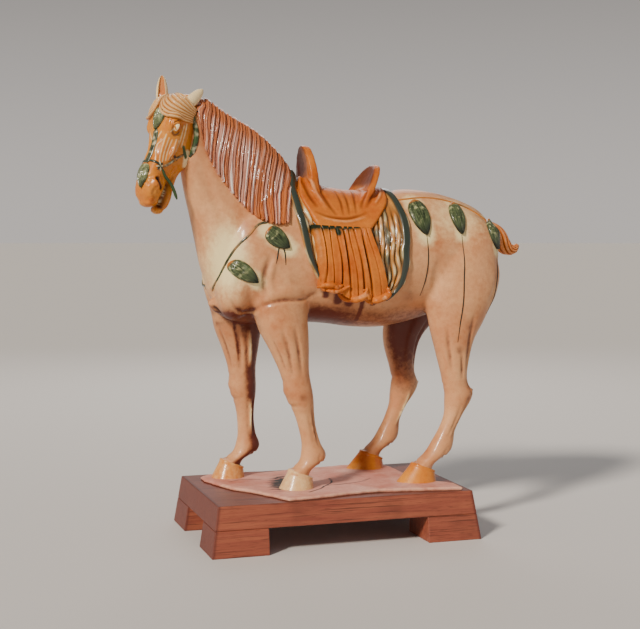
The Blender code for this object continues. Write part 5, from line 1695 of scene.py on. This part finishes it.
straps, runs = [], []
for side in SIDES:
    for route in (BREAST_STRAP, CRUPPER_STRAP):
        strap = roll("strap", *lie_along(route, 60, side), STRAP_RADIUS, STRAP_HEIGHT, taper=0.02)
        wet = dabs(points_of(strap), 24, 3)
        # The crupper's strap lost most of its green.
        paint(strap, "amber", 1.5 - 1.1 * wet if route is CRUPPER_STRAP else 0.75 - 0.9 * wet)
        paint(strap, "pale", 0.5 - 0.5 * wet)
        straps.append(strap)
    for route in GLAZE_RUNS:
        run = roll("run", *lie_along(route, 50, side), RUN_HALF, RUN_HEIGHT, sides=8, taper=0.3)
        paint(run, "green", 1)
        runs.append(run)
print(len(straps), "straps and", len(runs), "runs of glaze")
fired(joined("straps", straps), strap_glaze)
fired(joined("glaze_runs", runs), leaf_glaze)

# %% [markdown]
# ## Bridle
# A broad strap runs down each cheek, and thin ones lead from it to a rosette, over the
# nose and to the bit. A leaf lies on the brow and one on the nose, with a strap between.
# On the real horse they are fine rolls of clay laid on the head, so here they are too.

# %% Model the bridle
BROW_LEAF = ((30, 10), (84, 3), 17)
NOSE_LEAF = ((168, 0), (228, 6), 16)
BRIDLE_LEAF_HEIGHT = 9
# The face strap and the cheek strap are broad: half width and height.
FACE_STRAP = [(82, 4), (110, 3), (140, 0), (170, -3)]
FACE_STRAP_SIZE = (9, 3.2)
CHEEK_STRAP = [(10, -50), (24, -57), (39, -69), (63, -80), (89, -86), (116, -89)]
CHEEK_STRAP_SIZE = (6.5, 5.0)
JAW_STRAP = [(168, -24), (158, -38), (146, -48), (132, -58), (118, -72)]
NOSE_STRAP = [(166, -20), (162, -10), (160, -3)]
ROSETTE = (168, -20)
ROSETTE_PETALS = 8
BIT = [(172, -28, 29), (184, -42, 28), (194, -64, 27), (206, -78, 28), (222, -93, 28)]
BIT_SIZE = (3.9, 3.6)
BRIDLE_SIZE = (3.2, 2.8)
PETAL_REACH = 6
PETAL_SIZES = (5.5, 2.1, 2.6)
bridle_parts = []


def add_roll(hits, size):
    """A roll of clay through places and normals, kept with the bridle."""
    piece = roll("strap", *zip(*hits), *size, taper=0.08)
    bridle_parts.append(piece)
    return piece


for side in SIDES:
    cheek, jaw, nose = [[cheek_hit(skin, *spot, -side) for spot in smooth_rows(route, count)]
                        for route, count in ((CHEEK_STRAP, 40), (JAW_STRAP, 24), (NOSE_STRAP, 16))]
    piece = add_roll(cheek, CHEEK_STRAP_SIZE)
    paint(piece, "green", dabs(points_of(piece), 9, 4))
    piece = add_roll(jaw, BRIDLE_SIZE)
    paint(piece, "amber", 0.6 * dabs(points_of(piece), 7, 6))
    paint(piece, "pale", 0.55 * dabs(points_of(piece), 5, 8))
    over_nose = [face_hit(skin, NOSE_STRAP[-1][0], -side * left) for left in (12, 6, 0)]
    add_roll(nose + over_nose, BRIDLE_SIZE)
    bit = [(head_at(down, out, -side * left), -HEAD_LEFT * side) for down, out, left in smooth_rows(BIT, 20)]
    paint(add_roll(bit, BIT_SIZE), "green", 1)
    centre, _ = cheek_hit(skin, *ROSETTE, -side)
    for turn in range(ROSETTE_PETALS):
        angle = 2 * math.pi * (turn + 0.5) / ROSETTE_PETALS
        spoke = DOWN_FACE * math.cos(angle) + OUT_OF_FACE * math.sin(angle)
        axes = (spoke, HEAD_LEFT.cross(spoke), HEAD_LEFT)
        petal = ball("petal", centre + spoke * PETAL_REACH * UNIT, PETAL_SIZES, axes)
        paint(petal, "pale", 0.15 + 0.6 * (turn % 2))
        bridle_parts.append(petal)
bridle_leaves = [leaf("face_leaf", lambda *spot: face_hit(skin, *spot), *spots, BRIDLE_LEAF_HEIGHT, 0.4)
                 for spots in (BROW_LEAF, NOSE_LEAF)]
add_roll([face_hit(skin, *spot) for spot in smooth_rows(FACE_STRAP, 40)], FACE_STRAP_SIZE)
for piece in bridle_parts:
    if "pale" not in piece.data.attributes:
        paint(piece, "pale", 1.3 * dabs(points_of(piece), 7, 9) - 0.45)
print("bridle of", len(bridle_parts) + len(bridle_leaves), "pieces")
fired(joined("bridle", bridle_parts), strap_glaze)
fired(joined("bridle_leaves", bridle_leaves), leaf_glaze)

# %% [markdown]
# ## Hooves and tail
# Each hoof is a cone of clay with a raised band at the hair line. A plain cone would
# stand too upright, so each ring has its own reach in front and behind. The tail was
# tied up short: a fluted stump that twists and curls up at its end.

# %% Model the hooves
HOOF_TOE = 44
HOOF_HEEL = 42
HOOF_HALF_WIDTH = 40
HOOF_LEAN = 11
HOOF_TAPER = 0.34
HIND_TOE_LONGER = 17
CORONET_FRONT = 48
CORONET_BACK = 24
HOOF_SUNK = 1
HOOF_POINTS = 56
# The raised band: how far it stands out, where it is and its half height as shares.
BAND_RISE, BAND_AT, BAND_HALF = 0.05, 0.05, 0.06
# The forehooves kept more pale slip.
PALE_HOOVES = {"near_fore": 0.48, "far_fore": 0.3}
hooves = []
for name, line in LEG_LINES.items():
    end_along, end_aside, _ = line[-1]
    rings = []
    for share in np.linspace(0, 1, 22):
        band = BAND_RISE * bell(share, BAND_AT, BAND_HALF)
        growth = 0.0015 * math.sin(15 * share)
        flare = 1 - HOOF_TAPER * (1 - share) + band + growth
        angle = 2 * np.pi * np.arange(HOOF_POINTS) / HOOF_POINTS
        ahead = np.cos(angle)
        reach = np.where(ahead > 0, HOOF_TOE, HOOF_HEEL)
        rim = CORONET_BACK + (CORONET_FRONT - CORONET_BACK) * (1 + ahead) / 2
        longer = HIND_TOE_LONGER * share * np.clip(ahead, 0, 1) * ("hind" in name)
        along = end_along - ahead * (reach * flare + longer) + HOOF_LEAN * (1 - share)
        aside = end_aside + np.sin(angle) * HOOF_HALF_WIDTH * flare
        rings.append([at(*place) for place in zip(along, aside, rim * (1 - share) - HOOF_SUNK * share)])
    piece = loft(name + "_hoof", rings, dome=0.06)
    paint(piece, "pale", PALE_HOOVES.get(name, 0))
    hooves.append(piece)
print(len(hooves), "hooves")
fired(joined("hooves", hooves), honey_glaze)

# %% Model the tail
# Along, height and radius.
TAIL = [(440, 632, 30), (480, 618, 27), (503, 592, 23), (521, 580, 17), (536, 580, 12), (545, 588, 7)]
TAIL_FLUTES = 9
TAIL_POINTS = 8 * TAIL_FLUTES
TAIL_TWIST = 0.055
tail_rows = smooth_rows(TAIL, 60)
slopes = np.gradient(tail_rows, axis=0)
rings, flutes = [], []
across = np.array([0.0, 1.0, 0.0])
for number, ((along, height, radius), slope) in enumerate(zip(tail_rows, slopes)):
    upward = np.cross([slope[0], 0, slope[1]], across)
    upward /= np.linalg.norm(upward)
    angle = 2 * np.pi * np.arange(TAIL_POINTS)[:, None] / TAIL_POINTS
    flute = np.abs(np.sin(TAIL_FLUTES * angle / 2)) ** 0.6
    turn = angle + number * TAIL_TWIST
    spoke = across * np.cos(turn) + upward * np.sin(turn)
    rings.append(np.array(at(along, 0, height)) + spoke * radius * (0.8 + 0.2 * flute) * UNIT)
    flutes.append(flute.ravel())
tail = loft("tail", rings, dome=0.8)
# The loft's points start with the rows of its first rounded end.
hollow = np.zeros(len(tail.data.vertices))
flutes = np.concatenate(flutes)
first = len(CAP_ANGLES) * TAIL_POINTS
hollow[first:first + len(flutes)] = 0.8 * np.clip(1 - 1.5 * flutes, 0, 1)
paint(tail, "hollow", hollow)
paint(tail, "pale", np.where(hollow > 0, 0.0, 0.4))
fired(tail, amber_glaze)
print("tail of", TAIL_FLUTES, "flutes")

# %% [markdown]
# ## The slab
# The hooves stand on a thin sheet of clay, hardly glazed, that was torn rather than cut.
# A plane with a Solidify modifier would have a sharp edge all round, so it is built from
# its outline inwards, with an uneven, rounded edge and a rough top.

# %% Model the slab
SLAB_OUTLINE = [
    (-287, 99), (-248, -25), (-210, -75), (-177, -138), (-148, -201), (-71, -193), (13, -172),
    (94, -161), (214, -182), (297, -198), (301, -145), (240, -75), (230, 60), (228, 152),
    (150, 185), (60, 177), (-90, 152), (-180, 168), (-262, 160), (-284, 135),
]
SLAB_POINTS = 360
# Rows of the edge: share of the reach from the middle, share of the thickness.
SLAB_EDGE = [(0.985, 0.0), (0.997, 0.25), (1.0, 0.55), (0.996, 0.8), (0.988, 0.94), (0.975, 1.0)]
SLAB_TOP_ROWS = 34
# Unevenness of the torn edge and of the top: metres, waves per metre, seed.
TORN_EDGE = ((0.0022, 60, 0), (0.0009, 260, 3))
ROUGH_TOP = ((0.0006, 30, 5), (0.0003, 190, 7))
# Cracks across the slab: along and aside.
SLAB_CRACKS = [[(-80, -163), (-40, -128), (-17, -98), (27, -92), (80, -75), (120, -40)],
               [(-17, -98), (10, -60), (20, -10)], [(-236, 20), (-190, 44), (-150, 30)]]
outline = np.array(SLAB_OUTLINE + SLAB_OUTLINE[:1], float)
length = np.concatenate([[0], np.cumsum(np.linalg.norm(np.diff(outline, axis=0), axis=1))])
steps = np.linspace(0, length[-1], SLAB_POINTS, endpoint=False)
edge = np.column_stack([np.interp(steps, length, outline[:, column]) for column in (0, 1)]) * UNIT


def uneven(x, y, waves):
    """A height from several waves of noise at a place."""
    return sum(size * noise.noise(Vector((x * rate, y * rate, seed))) for size, rate, seed in waves)


points = []
slab_rows = [*SLAB_EDGE, *[(share, 1.0) for share in np.linspace(0.94, 0.03, SLAB_TOP_ROWS)]]
for share, level in slab_rows:
    for x, y in edge:
        scale = share + uneven(x, y, TORN_EDGE) * (share > 0.9) / math.hypot(x, y)
        x, y = x * scale, y * scale
        rough = uneven(x, y, ROUGH_TOP) if level > 0.9 else 0
        points.append((STAND_MIDDLE.x + x, STAND_MIDDLE.y + y, SLAB_BOTTOM + SLAB_THICKNESS * level + rough))
last = SLAB_POINTS * (len(slab_rows) - 1)
faces = [tuple(range(SLAB_POINTS)), tuple(range(last, last + SLAB_POINTS))]
for low in range(0, last, SLAB_POINTS):
    for turn in range(SLAB_POINTS):
        here, there = low + turn, low + (turn + 1) % SLAB_POINTS
        faces.append((here, there, there + SLAB_POINTS, here + SLAB_POINTS))
slab = clay("slab", points, faces)
print("slab", len(faces), "faces")

# %% Paint the slab
# A smudge of kiln dirt: its place, its slant, and its half sizes along and aside.
SMUDGE = (-115, -34)
SMUDGE_SLANT = 0.27
SMUDGE_HALF = (29, 90)
CRACK_HALF = 5
along, aside, _ = ((points_of(slab) - ORIGIN) / UNIT).T
skew = along - SMUDGE[0] - SMUDGE_SLANT * (aside - SMUDGE[1])
dark = bell(skew, 0, SMUDGE_HALF[0]) * bell(aside, SMUDGE[1], SMUDGE_HALF[1])
dark = 1.5 * dark * (0.72 + 0.28 * np.sin(0.21 * aside + 2 * np.sin(0.09 * along)))
cracks = [[at(*spot, 0) for spot in smooth_rows(crack, 24)] for crack in SLAB_CRACKS]
dark = np.maximum(dark, 0.8 * nearest(points_of(slab), cracks, CRACK_HALF))
paint(slab, "stain_and_shade", dark)
# The near edge broke to clean clay.
rim = (np.arange(len(along)) < len(SLAB_EDGE) * SLAB_POINTS) & (aside < 0)
paint(slab, "pale", 0.35 * rim)
# Biscuit clay: matt and pinkish, with only a breath of glaze.
clay_body = glaze("pinkish_biscuit_clay", ("#C67A68", "#E8B09F"), pale="#F0C59C", stain_and_shade="#2C2624",
                  rough=0.7, crazing=0.25, gloss=0.05)
fired(slab, clay_body, angle=35)
print("slab painted")

# %% [markdown]
# ## The wooden stand
# The stand is a plank deck on four glued blocks of a reddish hardwood, stained and
# waxed, with the grain along its length and darker pores and scratches. Its shape in the
# plain model is right, so only its surface is made. A wave pattern is too regular for
# wood, so the grain is noise drawn out along the plank.

# %% Stain the wood
# Real sizes in millimetres across the grain, and how much longer they are along it.
# The pores are drawn coarser than they are, so that they show.
RING_MM = 7
FIBRE_MM = 0.9
SCRATCH_MM = 2.4
GRAIN_LONGER = 20
SCRATCH_LONGER = 50
PATCHES_PER_METRE = 14.0
# The ends slope by this much for each metre of height.
END_SLOPE = 0.156
# Stained hardwood: a red-brown that is nearly matt, since the wax is thin and worn.
wood, tree, shader = new_material("stained_hardwood")
place = add(tree, "TexCoord", {}).outputs["Object"]
grain_way, scratch_way = [add(tree, "Mapping", {"Vector": place, "Scale": (1 / longer, 1.0, 1.0)}).outputs[0]
                          for longer in (GRAIN_LONGER, SCRATCH_LONGER)]
noises = (
    (grain_way, 1000 / RING_MM, 5.0, 0.6), (grain_way, 1000 / FIBRE_MM, 3.0, 0.0),
    (place, PATCHES_PER_METRE, 5.0, 0.0), (scratch_way, 1000 / SCRATCH_MM, 3.0, 0.0),
)
rings, fibre, patch, scratch = [
    add(tree, "TexNoise", {"Vector": way, "Scale": scale, "Detail": detail,
                           "Distortion": bent}).outputs["Fac"] for way, scale, detail, bent in noises]
spread = add(tree, "SeparateXYZ", {0: place}).outputs
from_middle = add(tree, "Math", {0: spread["X"], 1: -STAND_MIDDLE.x}, operation="ADD").outputs[0]
reach = add(tree, "Math", {0: from_middle}, operation="ABSOLUTE").outputs[0]
reach = add(tree, "Math", {0: spread["Z"], 1: END_SLOPE, 2: reach}, operation="MULTIPLY_ADD").outputs[0]
end_reach = deck_high.x - STAND_MIDDLE.x + END_SLOPE * deck_low.z
# Washes over each other: what drives it, where it starts, is full, how full, its colour.
# They are rings, pores, dark patches, scratches, end grain, and painted shade on top.
washes = (
    (rings, 0.3, 0.7, 1.0, "#A45A3E"), (fibre, 0.56, 0.7, 0.55, "#451E12"),
    (patch, 0.5, 0.75, 0.5, "#4A2013"), (scratch, 0.58, 0.68, 0.7, "#35150D"),
    (reach, end_reach - 0.006, end_reach - 0.002, 0.75, "#5A241C"),
    (spread["Z"], deck_high.z - 0.0008, deck_high.z - 0.0002, 0.5, "#47211A"),
)
colour = linear("#86402F")
for driver, start, full, most, hue in washes:
    span = {"Value": driver, "From Min": start, "From Max": full, "To Max": most}
    share = add(tree, "MapRange", span).outputs[0]
    colour = add(tree, "Mix", {0: share, 6: colour, 7: linear(hue)}, data_type="RGBA").outputs[2]
height = add(tree, "Math", {0: fibre, 1: 0.5, 2: rings}, operation="MULTIPLY_ADD").outputs[0]
bump = add(tree, "Bump", {"Height": height, "Strength": 0.45, "Distance": 0.001}).outputs[0]
tree.links.new(colour, shader.inputs["Base Color"])
tree.links.new(bump, shader.inputs["Normal"])
set_inputs(shader, {"Roughness": 0.55, "Coat Weight": 0.05})
for name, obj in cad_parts.items():
    if name.startswith("stand"):
        for material_slot in obj.material_slots:
            material_slot.material = wood
print("wood stained")
